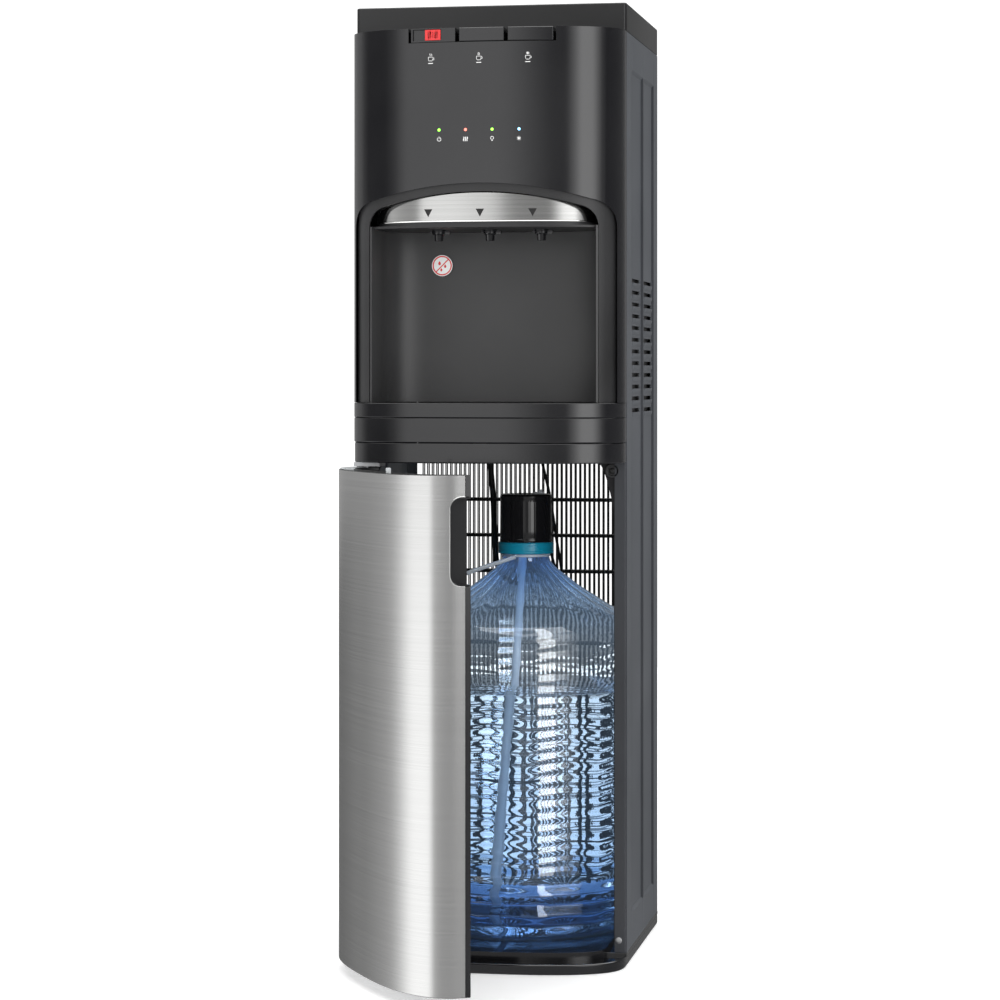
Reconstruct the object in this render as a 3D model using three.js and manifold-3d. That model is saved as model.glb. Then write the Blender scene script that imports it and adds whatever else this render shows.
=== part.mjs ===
// Floor-standing, bottom-loading water dispenser. Millimetres, +Z up, front towards -Y.
// Origin: middle of the side panels' footprint, on the floor. The door is drawn shut, then swung open.
import * as THREE from 'three';
import { mergeVertices } from 'three/addons/utils/BufferGeometryUtils.js';
import Module from 'manifold-3d';

const wasm = await Module();
wasm.setup();
const { Manifold } = wasm;

// ---------------------------------------------------------------- driving dimensions
const WIDTH = 300;
const DEPTH = 262; // side panels, front to back
const HEIGHT = 1045;
const BOW = 68; // how far the front bulges ahead of the side panels
const BOW_POWER = 2.65; // squareness of the bulge in plan
const GAP = 0.3; // between parts that touch
const SHEET = 1.2; // steel sheet
const WALL = 3; // moulded plastic wall

const HALF = WIDTH / 2;
const FRONT = -DEPTH / 2;
const BACK = DEPTH / 2;
const INNER = HALF - SHEET; // inside face of a side panel
const NOSE = FRONT - BOW; // foremost line of the front

const BASE_LIP_Z = 11.5;
const BASE_FLOOR_Z = 20;
const PANEL_Z = [15, 1013.7];
const LID_Z = [1014, HEIGHT];
const SHELF_Z = [546.3, 549];
const BAND_LOW_Z = [546, 567.8];
const BAND_HIGH_Z = [568.1, 594.9];
const TRAY_Z = [595.2, 610.8];
const FASCIA_Z = [611.1, 1013.7];
const TANK_SHELF_Z = [775, 778];

const ARCH = { half: 144, spring: 826, top: 847, corner: 26 };
const MOUTH = { half: 126, spring: 820, top: 838, corner: 22 };
const HOUSING_Z = [799.5, 838];
const LINER_BACK = -69;
const BAND_STEEL = { half: 124, bow: 62, power: 2.9, low: 805.5 };

const TAP_X = [-57, 0, 57];
const TAP_Y = -133;
const BUTTON = { low: 998.6, high: 1013.4, width: 49, pitch: 53, shift: 2.5, depth: 24 };
const SLIDER = { x: [-59.5, -42.1], travel: 13 };
const LED_X = [-43.5, -14.5, 14.5, 43.5];
const LED_Z = 904;

const DOOR_Z = [12, 540];
const DOOR_OPEN_DEG = 58;
const DOOR_DEPTH = 19;
const PIVOT = [-135.5, -144.5];
const PIN_R = 3;
const HANDLE = { z: [427, 518], y: -153, corner: 12, floor: 138 };

const BOTTLE = { x: 19, y: -14, r: 126, neck: 25.6, wall: 2, low: 20.3, top: 497 };
const WATER_Z = 292;
const CAP_Z = [453.3, 507];
const RING_Z = [440.3, 453];

const WIRES = { pitch: 5.5, count: 47, size: 1.6, z: [50, 541] };
const WIRE_FRONT_Y = 112.6;
const COIL = { y: 118.6, r: 2.3, x: 118, pitch: 41.9, top: 495, runs: 11 };
const HOSE_R = 3.4;
const CABLE_R = 1.7;

// ---------------------------------------------------------------- looks
const LOOKS = {
  blackGloss: [0x1c1d1f, 0.3, 0],
  blackSatin: [0x2b2c2e, 0.55, 0],
  darkPanel: [0x4a4c50, 0.5, 0.3],
  steel: [0xb9b9b6, 0.32, 1],
  zinc: [0xa9abad, 0.45, 0.9],
  red: [0xd9242b, 0.35, 0],
  clearBlue: [0x7fa8dc, 0.1, 0],
  water: [0x6c9be0, 0.05, 0],
  teal: [0x1b87a8, 0.35, 0],
  translucent: [0xdfe6ea, 0.3, 0],
  greyPlastic: [0xc6c9ca, 0.4, 0],
  foam: [0xe8e3d2, 0.9, 0],
  board: [0x1d5b35, 0.6, 0],
  white: [0xf2f2f0, 0.5, 0],
};

const root = new THREE.Group();

function add(name, solid, look) {
  const mesh = solid.getMesh();
  const geometry = new THREE.BufferGeometry();
  geometry.setAttribute('position', new THREE.BufferAttribute(new Float32Array(mesh.vertProperties), 3));
  geometry.setIndex(new THREE.BufferAttribute(new Uint32Array(mesh.triVerts), 1));
  geometry.computeVertexNormals();
  const [color, roughness, metalness] = LOOKS[look];
  const part = new THREE.Mesh(geometry, new THREE.MeshStandardMaterial({ color, roughness, metalness }));
  part.name = name;
  root.add(part);
}

// ---------------------------------------------------------------- solids
function solidOf(geometry) {
  geometry.deleteAttribute('normal');
  geometry.deleteAttribute('uv');
  const merged = mergeVertices(geometry, 1e-4);
  return new Manifold(new wasm.Mesh({
    numProp: 3,
    vertProperties: new Float32Array(merged.attributes.position.array),
    triVerts: new Uint32Array(merged.index.array),
  }));
}

function box([x0, x1], [y0, y1], [z0, z1]) {
  const geometry = new THREE.BoxGeometry(x1 - x0, y1 - y0, z1 - z0);
  geometry.translate((x0 + x1) / 2, (y0 + y1) / 2, (z0 + z1) / 2);
  return solidOf(geometry);
}

function rodZ(radius, [z0, z1], x = 0, y = 0, sides = 20) {
  const geometry = new THREE.CylinderGeometry(radius, radius, z1 - z0, sides);
  geometry.rotateX(Math.PI / 2);
  geometry.translate(x, y, (z0 + z1) / 2);
  return solidOf(geometry);
}

function rodY(radius, [y0, y1], x, z, sides = 16) {
  const geometry = new THREE.CylinderGeometry(radius, radius, y1 - y0, sides);
  geometry.translate(x, (y0 + y1) / 2, z);
  return solidOf(geometry);
}

// A plan outline, in x and y, raised from z0 to z1.
function plate(outline, [z0, z1]) {
  const geometry = new THREE.ExtrudeGeometry(new THREE.Shape(outline.map(([x, y]) => new THREE.Vector2(x, y))), {
    depth: z1 - z0,
    bevelEnabled: false,
  });
  geometry.translate(0, 0, z0);
  return solidOf(geometry);
}

// A front-view shape, in x and z, run back from y0 to y1.
function panel(shape, [y0, y1], curveSegments = 8) {
  const geometry = new THREE.ExtrudeGeometry(shape, { depth: y1 - y0, bevelEnabled: false, curveSegments });
  geometry.rotateX(Math.PI / 2);
  geometry.translate(0, y1, 0);
  return solidOf(geometry);
}

// A [radius, z] profile turned about a vertical axis.
function turned(profile, x, y, sides = 32) {
  const geometry = new THREE.LatheGeometry(profile.map(([r, z]) => new THREE.Vector2(r, z)), sides);
  geometry.rotateX(Math.PI / 2);
  geometry.translate(x, y, 0);
  return solidOf(geometry);
}

// Straight lengths between points, with one section of the bar at each point.
class Stations extends THREE.Curve {
  constructor(points) {
    super();
    this.points = points.map((p) => new THREE.Vector3(...p));
  }

  getPoint(t) {
    const last = this.points.length - 1;
    const i = Math.min(Math.floor(t * last), last - 1);
    return this.points[i].clone().lerp(this.points[i + 1], t * last - i);
  }

  getUtoTmapping(u) {
    return u;
  }
}

function barAlong(curve, radius, steps, sides) {
  const section = new THREE.Shape();
  for (let i = 0; i < sides; i += 1) {
    const a = (2 * Math.PI * i) / sides;
    if (i === 0) section.moveTo(radius, 0);
    else section.lineTo(radius * Math.cos(a), radius * Math.sin(a));
  }
  section.closePath();
  return solidOf(new THREE.ExtrudeGeometry(section, { steps, bevelEnabled: false, extrudePath: curve }));
}

function tube(points, radius, steps, sides = 8) {
  const curve = new THREE.CatmullRomCurve3(points.map((p) => new THREE.Vector3(...p)), false, 'catmullrom', 0.5);
  return barAlong(curve, radius, steps, sides);
}

function joined(solids) {
  return Manifold.union(solids);
}

// ---------------------------------------------------------------- the bowed front
function bow(half, depth, power, steps = 20) {
  const points = [];
  for (let i = 0; i <= steps; i += 1) {
    const a = Math.PI * (i / steps - 0.5);
    const x = half * Math.sign(Math.sin(a)) * Math.abs(Math.sin(a)) ** (2 / power);
    const y = FRONT - depth * Math.abs(Math.cos(a)) ** (2 / power);
    points.push([x, y]);
  }
  return points;
}

// The front's plan outline, moved inwards by inset and closed along the line y = rear.
function footprint(inset, rear) {
  const points = bow(HALF - inset, BOW - inset, BOW_POWER);
  const half = HALF - inset;
  return rear > FRONT ? [...points, [half, rear], [-half, rear]] : points;
}

function bowed(inset, span, rear = FRONT) {
  return plate(footprint(inset, rear), span);
}

function bowedShell(inset, thickness, span) {
  const rear = FRONT - GAP;
  const hollow = plate(footprint(inset + thickness, BACK), [span[0] - 1, span[1] + 1]);
  const trim = box([-HALF - 5, HALF + 5], [rear, BACK], [span[0] - 1, span[1] + 1]);
  return bowed(inset, span).subtract(hollow).subtract(trim);
}

// An arched opening in front view, standing on the line z = floor.
function archShape({ half, spring, top, corner }, floor) {
  const shape = new THREE.Shape();
  shape.moveTo(-half, floor);
  shape.lineTo(-half, spring - corner);
  shape.quadraticCurveTo(-half, spring, -half + corner, spring + 4);
  shape.quadraticCurveTo(0, 2 * top - spring - 4, half - corner, spring + 4);
  shape.quadraticCurveTo(half, spring, half, spring - corner);
  shape.lineTo(half, floor);
  shape.closePath();
  return shape;
}

// ---------------------------------------------------------------- cabinet
function sidePanel(side) {
  const outer = side * HALF;
  const inner = side * INNER;
  const flange = side * (INNER - 12);
  const sorted = (a, b) => [Math.min(a, b), Math.max(a, b)];
  const skin = box(sorted(outer, inner), [FRONT, BACK], PANEL_Z);
  const back = box(sorted(inner + side * 0.5, flange), [BACK - SHEET, BACK], PANEL_Z);
  const slots = [];
  for (let row = 0; row < 12; row += 1) {
    for (const y of [-76, 23]) {
      const z = 600 + row * 13;
      slots.push(box([outer - 4, outer + 4], [y, y + 65], [z, z + 5]));
    }
  }
  return skin.add(back).subtract(joined(slots));
}

function topCover() {
  const shell = box([-HALF, HALF], [FRONT, BACK], LID_Z);
  const hollow = box([-HALF + 2.5, HALF - 2.5], [FRONT + 2.5, BACK - 2.5], [LID_Z[0] - 1, LID_Z[1] - 2.5]);
  return shell.subtract(hollow);
}

function frontPost(side) {
  const x = side > 0 ? [136, INNER - GAP] : [-INNER + GAP, -136];
  const y = [FRONT + 3, -119];
  const web = side > 0 ? [147.3, INNER - GAP] : [-INNER + GAP, -147.3];
  const z = [BASE_FLOOR_Z + GAP, 545.6];
  return joined([box(x, [y[0], y[0] + SHEET], z), box(web, y, z), gusset(side, y[0])]);
}

// The post's head widens into a corner plate.
function gusset(side, y) {
  const shape = new THREE.Shape();
  shape.moveTo(side * 118, 545.6);
  shape.lineTo(side * 137, 545.6);
  shape.lineTo(side * 137, 492);
  shape.quadraticCurveTo(side * 130, 520, side * 118, 545.6);
  return panel(shape, [y, y + SHEET], 4);
}

function basePan() {
  const lip = bowed(0, [0, BASE_LIP_Z], BACK);
  const sill = box([-HALF, HALF], [FRONT + GAP, BACK], [BASE_LIP_Z - 1, PANEL_Z[0] - GAP]);
  const floor = bowed(22, [BASE_LIP_Z - 1, BASE_FLOOR_Z], 108);
  const sweep = rodZ(15, [BASE_LIP_Z, BASE_FLOOR_Z + 1], ...PIVOT);
  const socket = rodZ(PIN_R + GAP, [4, 30], ...PIVOT);
  return joined([lip, sill, floor.subtract(sweep)]).subtract(socket);
}

function midShelf() {
  const through = joined([
    rodZ(HOSE_R + 2, [540, 555], -41, 85, 12),
    rodZ(CABLE_R + 2, [540, 555], 20, 85, 12),
  ]);
  return bowed(WALL + GAP + 0.3, SHELF_Z, 124).subtract(through);
}

function bandHigh() {
  const deck = bowed(1, [BAND_HIGH_Z[1] - 2.5, BAND_HIGH_Z[1]], FRONT);
  const rear = box([-122, 122], [FRONT - 1, LINER_BACK - 3], [BAND_HIGH_Z[1] - 2.5, BAND_HIGH_Z[1]]);
  return joined([bowedShell(0, WALL, BAND_HIGH_Z), deck, rear]);
}

function rearPanel() {
  const sheet = box([-136.2, 136.2], [BACK - SHEET, BACK], [549.3, PANEL_Z[1]]);
  return sheet.subtract(box([70, 98], [BACK - 3, BACK + 1], [590, 614]));
}

function powerInlet() {
  const body = box([70.4, 97.6], [BACK - 20, BACK - 0.2], [590.4, 613.6]);
  return body.subtract(box([73, 95], [BACK - 14, BACK + 1], [593, 611]));
}

function tankShelf() {
  const sheet = box([-INNER + GAP, INNER - GAP], [LINER_BACK + 0.5, BACK - 2], TANK_SHELF_Z);
  return sheet.subtract(rodZ(6.5, [770, 785], -42, 85, 12));
}

// ---------------------------------------------------------------- head and dispensing alcove
function fascia() {
  const shell = bowedShell(0, WALL, FASCIA_Z);
  const ledge = bowed(0.5, [FASCIA_Z[1] - WALL, FASCIA_Z[1]]).subtract(
    box([-HALF, HALF], [FRONT - GAP, BACK], [1000, 1020]));
  const slotX = 1.5 * BUTTON.pitch + 1;
  const slot = box([BUTTON.shift - slotX, BUTTON.shift + slotX], [NOSE - 5, NOSE + BUTTON.depth + 6],
    [BUTTON.low - 0.6, 1020]);
  const lenses = LED_X.map((x) => rodY(2.3, [NOSE - 5, NOSE + 12], x, LED_Z, 12));
  const arch = panel(archShape(ARCH, 600), [NOSE - 5, FRONT + 5]);
  return joined([shell, ledge]).subtract(joined([slot, arch, ...lenses]));
}

function alcoveFrame() {
  const span = [FASCIA_Z[0], 850];
  const blank = bowedShell(WALL + GAP, WALL + 1, span);
  const inside = { ...ARCH, half: ARCH.half - GAP, top: ARCH.top + 2, spring: ARCH.spring + 2 };
  const sheet = blank.intersect(panel(archShape(inside, 600), [NOSE - 5, FRONT + 5]));
  return sheet.subtract(panel(archShape(MOUTH, 600), [NOSE - 5, FRONT + 5]));
}

// Plan outline of the recess: straight sides with a rounded back.
function recessOutline(inset) {
  const half = MOUTH.half - 0.4 - inset;
  const back = LINER_BACK - inset;
  const points = [[-half, NOSE]];
  const steps = 14;
  for (let i = 0; i <= steps; i += 1) {
    const a = Math.PI * (1 - i / steps);
    const x = half * Math.sign(Math.cos(a)) * Math.abs(Math.cos(a)) ** 0.55;
    const y = back - 62 * (1 - Math.abs(Math.sin(a)) ** 0.55);
    points.push([x, y]);
  }
  points.push([half, NOSE]);
  return points;
}

function alcoveLiner() {
  const span = [FASCIA_Z[0], HOUSING_Z[0] + 2.5];
  const walls = plate(recessOutline(0), span).subtract(plate(recessOutline(2.5), [span[0] - 1, HOUSING_Z[0]]));
  const holes = joined(TAP_X.map((x) => rodZ(8, [790, 810], x, TAP_Y, 16)));
  return walls.intersect(bowed(WALL + 5, [600, 900], BACK)).subtract(holes).add(spoutHousing());
}

function steelOutline(inset) {
  return bow(BAND_STEEL.half - inset, BAND_STEEL.bow - inset, BAND_STEEL.power);
}

function spoutHousing() {
  const span = [HOUSING_Z[0], HOUSING_Z[1] - 4];
  const shell = plate(steelOutline(1.2), span).subtract(plate(steelOutline(3.7), [span[0] - 1, span[1] + 1]));
  return shell.subtract(box([-HALF, HALF], [-138, BACK], [780, 850]));
}

function spoutBand() {
  const span = [BAND_STEEL.low, HOUSING_Z[1]];
  const strip = plate(steelOutline(0), span).subtract(plate(steelOutline(0.9), [span[0] - 1, span[1] + 1]));
  const under = { ...MOUTH, half: MOUTH.half - 1, spring: MOUTH.spring - 1, top: MOUTH.top - 1 };
  return strip
    .subtract(box([-HALF, HALF], [-140, BACK], [780, 850]))
    .intersect(panel(archShape(under, 700), [NOSE, FRONT]));
}

function spout(x) {
  const collar = rodZ(7.6, [793.5, 803.5], x, TAP_Y, 12);
  const nozzle = rodZ(4.8, [787.5, 795], x + 1, TAP_Y, 12);
  const lug = box([x + 5, x + 12.5], [TAP_Y - 2.5, TAP_Y + 2.5], [794.5, 798.5]);
  const bore = rodZ(2.6, [786, 800], x + 1, TAP_Y, 8);
  return joined([collar, nozzle, lug]).subtract(bore);
}

function button(index) {
  const middle = (index - 1) * BUTTON.pitch + BUTTON.shift;
  const span = [BUTTON.low, BUTTON.high];
  const x = [middle - BUTTON.width / 2, middle + BUTTON.width / 2];
  const block = bowed(0.4, span, BACK).intersect(box(x, [NOSE - 5, NOSE + BUTTON.depth], span));
  if (index > 0) return block;
  const way = [SLIDER.x[0] - SLIDER.travel - 0.6, SLIDER.x[1] + 0.6];
  return block.subtract(box(way, [NOSE - 5, NOSE + 7.5], [1000.2, 1012.4]));
}

function childLock() {
  const span = [1000.6, 1012];
  const grip = bowed(0.9, span, BACK).intersect(box(SLIDER.x, [NOSE - 5, NOSE + 7.1], span));
  const ribs = [-55, -50.8, -46.6].map((x) => box([x - 0.6, x + 0.6], [NOSE - 5, NOSE + 3.2], [1003, 1010]));
  return grip.subtract(joined(ribs));
}

function ledLens(x) {
  const face = FRONT - (BOW - 0.4) * (1 - Math.abs(x / HALF) ** BOW_POWER) ** (1 / BOW_POWER);
  return rodY(2, [face, NOSE + 12.5], x, LED_Z, 12);
}

function controlBoard() {
  return box([-60, 60], [NOSE + 13, NOSE + 14.6], [884, 924]);
}

function sticker() {
  return rodY(11.7, [LINER_BACK - 6.7, LINER_BACK - 6.3], -65, 763, 24);
}

// ---------------------------------------------------------------- drip tray
function trayOutline(inset) {
  const half = 118 - inset;
  const rear = LINER_BACK - 6 - inset;
  const front = bow(HALF - inset, BOW + 0.8 - inset, BOW_POWER);
  return [...front.slice(1, -1), [HALF - inset, FRONT - 2], [half, FRONT - 2], [half, rear - 36],
    [half - 10, rear - 12], [half - 34, rear], [-half + 34, rear], [-half + 10, rear - 12],
    [-half, rear - 36], [-half, FRONT - 2], [-HALF + inset, FRONT - 2]];
}

// The pocket keeps clear of the two wings that reach out to the side panels.
function trayPocket(inset) {
  const half = 118 - inset;
  const rear = LINER_BACK - 6 - inset;
  return [...bow(half, BOW + 0.8 - inset, BOW_POWER, 16), [half, rear - 36], [half - 10, rear - 12],
    [half - 34, rear], [-half + 34, rear], [-half + 10, rear - 12], [-half, rear - 36]];
}

function dripTray() {
  const well = plate(trayPocket(4), [TRAY_Z[0] + 2.4, 615]);
  const seat = plate(trayPocket(2.5), [TRAY_Z[1] - 2.6, 615]);
  return plate(trayOutline(0), TRAY_Z).subtract(well).subtract(seat);
}

function dripGrid() {
  const sheet = plate(trayPocket(2.8), [TRAY_Z[1] - 2.3, TRAY_Z[1] - 0.2]);
  const slots = [];
  for (let x = -100; x <= 100; x += 12.5) {
    const reach = Math.abs(x) > 80 ? 30 : 46;
    slots.push(box([x - 2.6, x + 2.6], [-136 - reach, -136 + reach], [600, 620]));
  }
  return sheet.subtract(joined(slots));
}

// ---------------------------------------------------------------- bottle compartment
function condenserWires(y) {
  const { pitch, count, size, z } = WIRES;
  const edge = ((count - 1) / 2) * pitch + size / 2;
  const sheet = box([-edge, edge], [y, y + size], z);
  const slots = [];
  for (let i = 0; i < count - 1; i += 1) {
    const x = -edge + size + i * pitch;
    slots.push(box([x, x + pitch - size], [y - 1, y + size + 1], [z[0] + size, z[1] - size]));
  }
  return sheet.subtract(joined(slots));
}

// One bar in level runs, joined by hairpin turns at alternate ends.
function condenserCoil() {
  const points = [];
  const half = COIL.pitch / 2;
  for (let i = 0; i < COIL.runs; i += 1) {
    const side = i % 2 ? -1 : 1;
    const z = COIL.top - i * COIL.pitch;
    points.push([-side * COIL.x, COIL.y, z], [side * COIL.x, COIL.y, z]);
    if (i === COIL.runs - 1) break;
    for (const deg of [45, 0, -45]) {
      const a = THREE.MathUtils.degToRad(deg);
      points.push([side * (COIL.x + 11 * Math.cos(a)), COIL.y, z - half + half * Math.sin(a)]);
    }
  }
  return barAlong(new Stations(points), COIL.r, points.length - 1, 6);
}

function compressor() {
  const can = turned([[0, 566], [48, 566], [60, 578], [62, 640], [62, 668], [52, 700], [28, 716], [0, 720]], 50, 18, 24);
  const foot = box([-6, 106], [-32, 68], [556, 568]);
  const feet = [[2, -24], [98, -24], [2, 60], [98, 60]].map(([x, y]) => rodZ(6, [SHELF_Z[1] + GAP, 557], x, y, 10));
  return joined([can, foot, ...feet]);
}

function pump() {
  const body = box([-62, -22], [66, 104], [588, 640]);
  const inlet = rodZ(4, [582, 590], -41, 85, 10);
  const leg = box([-58, -48], [70, 100], [SHELF_Z[1] + GAP, 589]);
  return joined([body, inlet, leg]);
}

const HOSE_ROUTE = [[-41, 85, 581.7], [-41, 85, 546], [-37, 84, 500], [-35, 85, 450], [-31, 84, 418],
  [-12, 76, 401], [6, 62, 420], [16, 46, 460], [19, 31, 483.4], [19, 22.2, 484]];
const CABLE_ROUTE = [[-21.6, 90, 612], [2, 90, 606], [19, 86, 580], [20, 85, 546], [30, 85, 500], [38, 84, 450],
  [44, 82, 415], [45, 68, 402], [40, 44, 430], [34, 27, 471.5], [33.5, 17.3, 474]];

// ---------------------------------------------------------------- tanks and lines
function coldTank() {
  return rodZ(62, [784, 950], 62, 40, 28);
}

function coldJacket() {
  const shell = rodZ(78, [TANK_SHELF_Z[1] + GAP, 966], 62, 40, 28);
  return shell.subtract(rodZ(62.4, [783.7, 970], 62, 40, 28));
}

function hotTank() {
  return rodZ(46, [TANK_SHELF_Z[1] + GAP, 940], -82, 42, 24);
}

const LINES = {
  hot: [[-57, TAP_Y, 803.9], [-57, TAP_Y, 826], [-62, -112, 846], [-76, -60, 856], [-82, -4.6, 858]],
  cold: [[57, TAP_Y, 803.9], [57, TAP_Y, 826], [58, -112, 846], [61, -80, 856], [62, -38.6, 858]],
  room: [[0, TAP_Y, 803.9], [0, TAP_Y, 826], [-6, -112, 846], [-25, -30, 856], [-26, 40, 856], [-38, 82, 836],
    [-42, 85, 780], [-42, 85, 700], [-42, 85, 640.4]],
};

// ---------------------------------------------------------------- bottle
function bottleProfile() {
  const { r, neck, low, top } = BOTTLE;
  return [[0, low + 8], [70, low + 8], [84, low], [108, low], [120, low + 8], [r, low + 24], [r, 352], [r - 6, 368],
    [98, 380], [60, 404], [34, 424], [neck, 438], [neck, top]];
}

function bottleShell() {
  const { wall, top } = BOTTLE;
  const outer = bottleProfile();
  const inner = outer.slice(1).reverse().map(([r, z], i) => [r - wall, i < 3 ? z : z + (z < 100 ? wall : -1)]);
  inner[0][1] = top;
  return turned([...outer, ...inner, [0, BOTTLE.low + 8 + wall], [0, BOTTLE.low + 8]], BOTTLE.x, BOTTLE.y, 28);
}

function water() {
  const { r, wall, low, x, y } = BOTTLE;
  const side = r - wall - GAP;
  const base = low + wall + GAP;
  const profile = [[0, base + 8.2], [70, base + 8.2], [84, base + 0.8], [105, base + 0.8], [117, base + 8.5],
    [side, base + 25], [side, WATER_Z], [0, WATER_Z]];
  return turned(profile, x, y, 28).subtract(probeRod(6.2, 0));
}

function probeRod(radius, bore) {
  const path = (r) => tube([[19, -14, 493], [-9.6, -14, 36]], r, 1, 12);
  return bore ? path(radius).subtract(tube([[19.1, -14, 495], [-9.7, -14, 34]], bore, 1, 10)) : path(radius);
}

function probeCap() {
  const profile = [[26.4, CAP_Z[0]], [29.6, CAP_Z[0]], [29.3, CAP_Z[1] - 1.5], [28, CAP_Z[1]], [0, CAP_Z[1]],
    [0, 500], [26.1, 500], [26.4, CAP_Z[0]]];
  const shell = turned(profile, BOTTLE.x, BOTTLE.y, 24);
  const barb = rodY(3.2, [13, 21.1], 19, 484, 10);
  const gland = rodY(2.6, [11, 16.2], 33.5, 474, 10);
  return joined([shell, barb, gland]).subtract(rodZ(26.2, [440, 500], BOTTLE.x, BOTTLE.y, 24));
}

function capFitting() {
  const stem = rodZ(3, [CAP_Z[1] + GAP, 512], 36, -16, 10);
  const flange = box([28, 40], [-19, -13], [CAP_Z[1] + GAP, 509.3]);
  return stem.add(flange);
}

function capRing() {
  const [low, high] = RING_Z;
  return turned([[26.2, low], [31, low], [31.6, low + 1], [31.6, high - 2], [30.4, high], [26.2, high], [26.2, low]],
    BOTTLE.x, BOTTLE.y, 24);
}

function neckHandle() {
  const ring = turned([[26, 434.8], [29, 434.8], [29, 439.8], [26, 439.8], [26, 434.8]], BOTTLE.x, BOTTLE.y, 24);
  const strap = new THREE.CatmullRomCurve3([[14, -41, 437.4], [-22, -42, 424], [-56, -30, 410], [-66, -14, 406],
    [-56, 2, 410], [-22, 14, 424], [14, 13, 437.4]].map((p) => new THREE.Vector3(...p)));
  const section = new THREE.Shape();
  section.moveTo(-1.1, -2.4);
  section.lineTo(1.1, -2.4);
  section.lineTo(1.1, 2.4);
  section.lineTo(-1.1, 2.4);
  section.closePath();
  const bail = solidOf(new THREE.ExtrudeGeometry(section, { steps: 16, bevelEnabled: false, extrudePath: strap }));
  const clear = bottleProfile().map(([r, z]) => [r > 0 ? r + 0.6 : 0, z + 0.3]);
  return ring.add(bail).subtract(turned([...clear, [0, BOTTLE.top]], BOTTLE.x, BOTTLE.y, 28));
}

// ---------------------------------------------------------------- door, drawn shut
function swung(solid) {
  const [x, y] = PIVOT;
  return solid.translate([-x, -y, 0]).rotate([0, 0, -DOOR_OPEN_DEG]).translate([x, y, 0]);
}

// Takes away the rear corner beyond the pivot, so that it turns clear of the side panel.
function cornerTrim() {
  const [x, y] = PIVOT;
  return box([x - 30, x], [y, y + 30], [0, 600]).subtract(rodZ(12.9, [-5, 605], x, y, 28));
}

function doorRing(inset, depth, span) {
  return bowed(inset, span).subtract(plate(footprint(depth, BACK), [span[0] - 1, span[1] + 1]))
    .subtract(box([-HALF, HALF], [FRONT - 0.6, BACK], [span[0] - 1, span[1] + 1]))
    .subtract(cornerTrim());
}

function handleNotch(shrink, xFrom) {
  const [low, high] = [HANDLE.z[0] + shrink, HANDLE.z[1] - shrink];
  const r = HANDLE.corner - shrink;
  const y = HANDLE.y + shrink;
  const shape = new THREE.Shape();
  shape.moveTo(y + r, low);
  shape.absarc(y + r, low + r, r, -Math.PI / 2, Math.PI, true);
  shape.absarc(y + r, high - r, r, Math.PI, Math.PI / 2, true);
  shape.lineTo(-120, high);
  shape.lineTo(-120, low);
  shape.closePath();
  const geometry = new THREE.ExtrudeGeometry(shape, { depth: 160 - xFrom, bevelEnabled: false, curveSegments: 5 });
  geometry.rotateX(Math.PI / 2);
  geometry.rotateZ(Math.PI / 2);
  geometry.translate(xFrom, 0, 0);
  return solidOf(geometry);
}

const SKIN_END = FRONT - 6.5;
const SKIN_Z = [DOOR_Z[0] + 3.8, DOOR_Z[1] - 4.3];
const SHEET_Z = [DOOR_Z[0] + 0.8, DOOR_Z[1] - 0.7];

function doorSkin() {
  const sheet = bowed(0.6, SHEET_Z).subtract(plate(footprint(1.6, BACK), [0, 600]));
  const ends = box([0, HALF], [SKIN_END, BACK], [0, 600]).add(box([-HALF, 0], [PIVOT[1], BACK], [0, 600]));
  return sheet.subtract(ends).subtract(handleNotch(0, 100));
}

function doorLiner() {
  const body = doorRing(1.9, DOOR_DEPTH, SKIN_Z);
  const edges = doorRing(0.6, DOOR_DEPTH, SKIN_Z).subtract(
    box([-HALF, 0], [-300, PIVOT[1] + GAP], [0, 600]).add(box([0, HALF], [-300, SKIN_END + GAP], [0, 600])));
  const cavity = bowed(-1, [22, 529]).subtract(plate(footprint(DOOR_DEPTH - 2.5, BACK), [0, 600]))
    .intersect(box([-128, 128], [-300, -150], [22, 529]));
  const pins = rodZ(PIN_R + GAP, [0, 28], ...PIVOT).add(rodZ(PIN_R + GAP, [524, 560], ...PIVOT));
  return body.add(edges).subtract(cavity).subtract(handleNotch(0, 133)).subtract(pins);
}

function handleCup() {
  const blank = handleNotch(GAP, 133 + GAP).intersect(bowed(1, [400, 540]))
    .subtract(box([0, HALF], [FRONT - 0.6, BACK], [400, 540]));
  return blank.subtract(handleNotch(GAP + 1.8, HANDLE.floor));
}

function doorTopCap() {
  const span = [SKIN_Z[1] + GAP, DOOR_Z[1]];
  const pocket = bowed(4, [span[1] - 2.4, 560]).subtract(plate(footprint(DOOR_DEPTH - 3, BACK), [500, 600]))
    .intersect(box([-126, 126], [-300, -150], [500, 600]));
  const tongue = box([56, 62], [-190, -186], [span[0] + 0.5, 545.4]);
  return doorRing(1.9, DOOR_DEPTH, span).subtract(pocket).subtract(rodZ(PIN_R + GAP, [500, 560], ...PIVOT)).add(tongue);
}

function doorBottomCap() {
  return doorRing(1.9, DOOR_DEPTH, [DOOR_Z[0], SKIN_Z[0] - GAP]).subtract(rodZ(PIN_R + GAP, [0, 28], ...PIVOT));
}

function hingeBracket() {
  const arm = box([-147, -118], [-157, -129], [541.4, 545.8]);
  return arm.subtract(rodZ(PIN_R + GAP, [530, 560], ...PIVOT));
}

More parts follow.
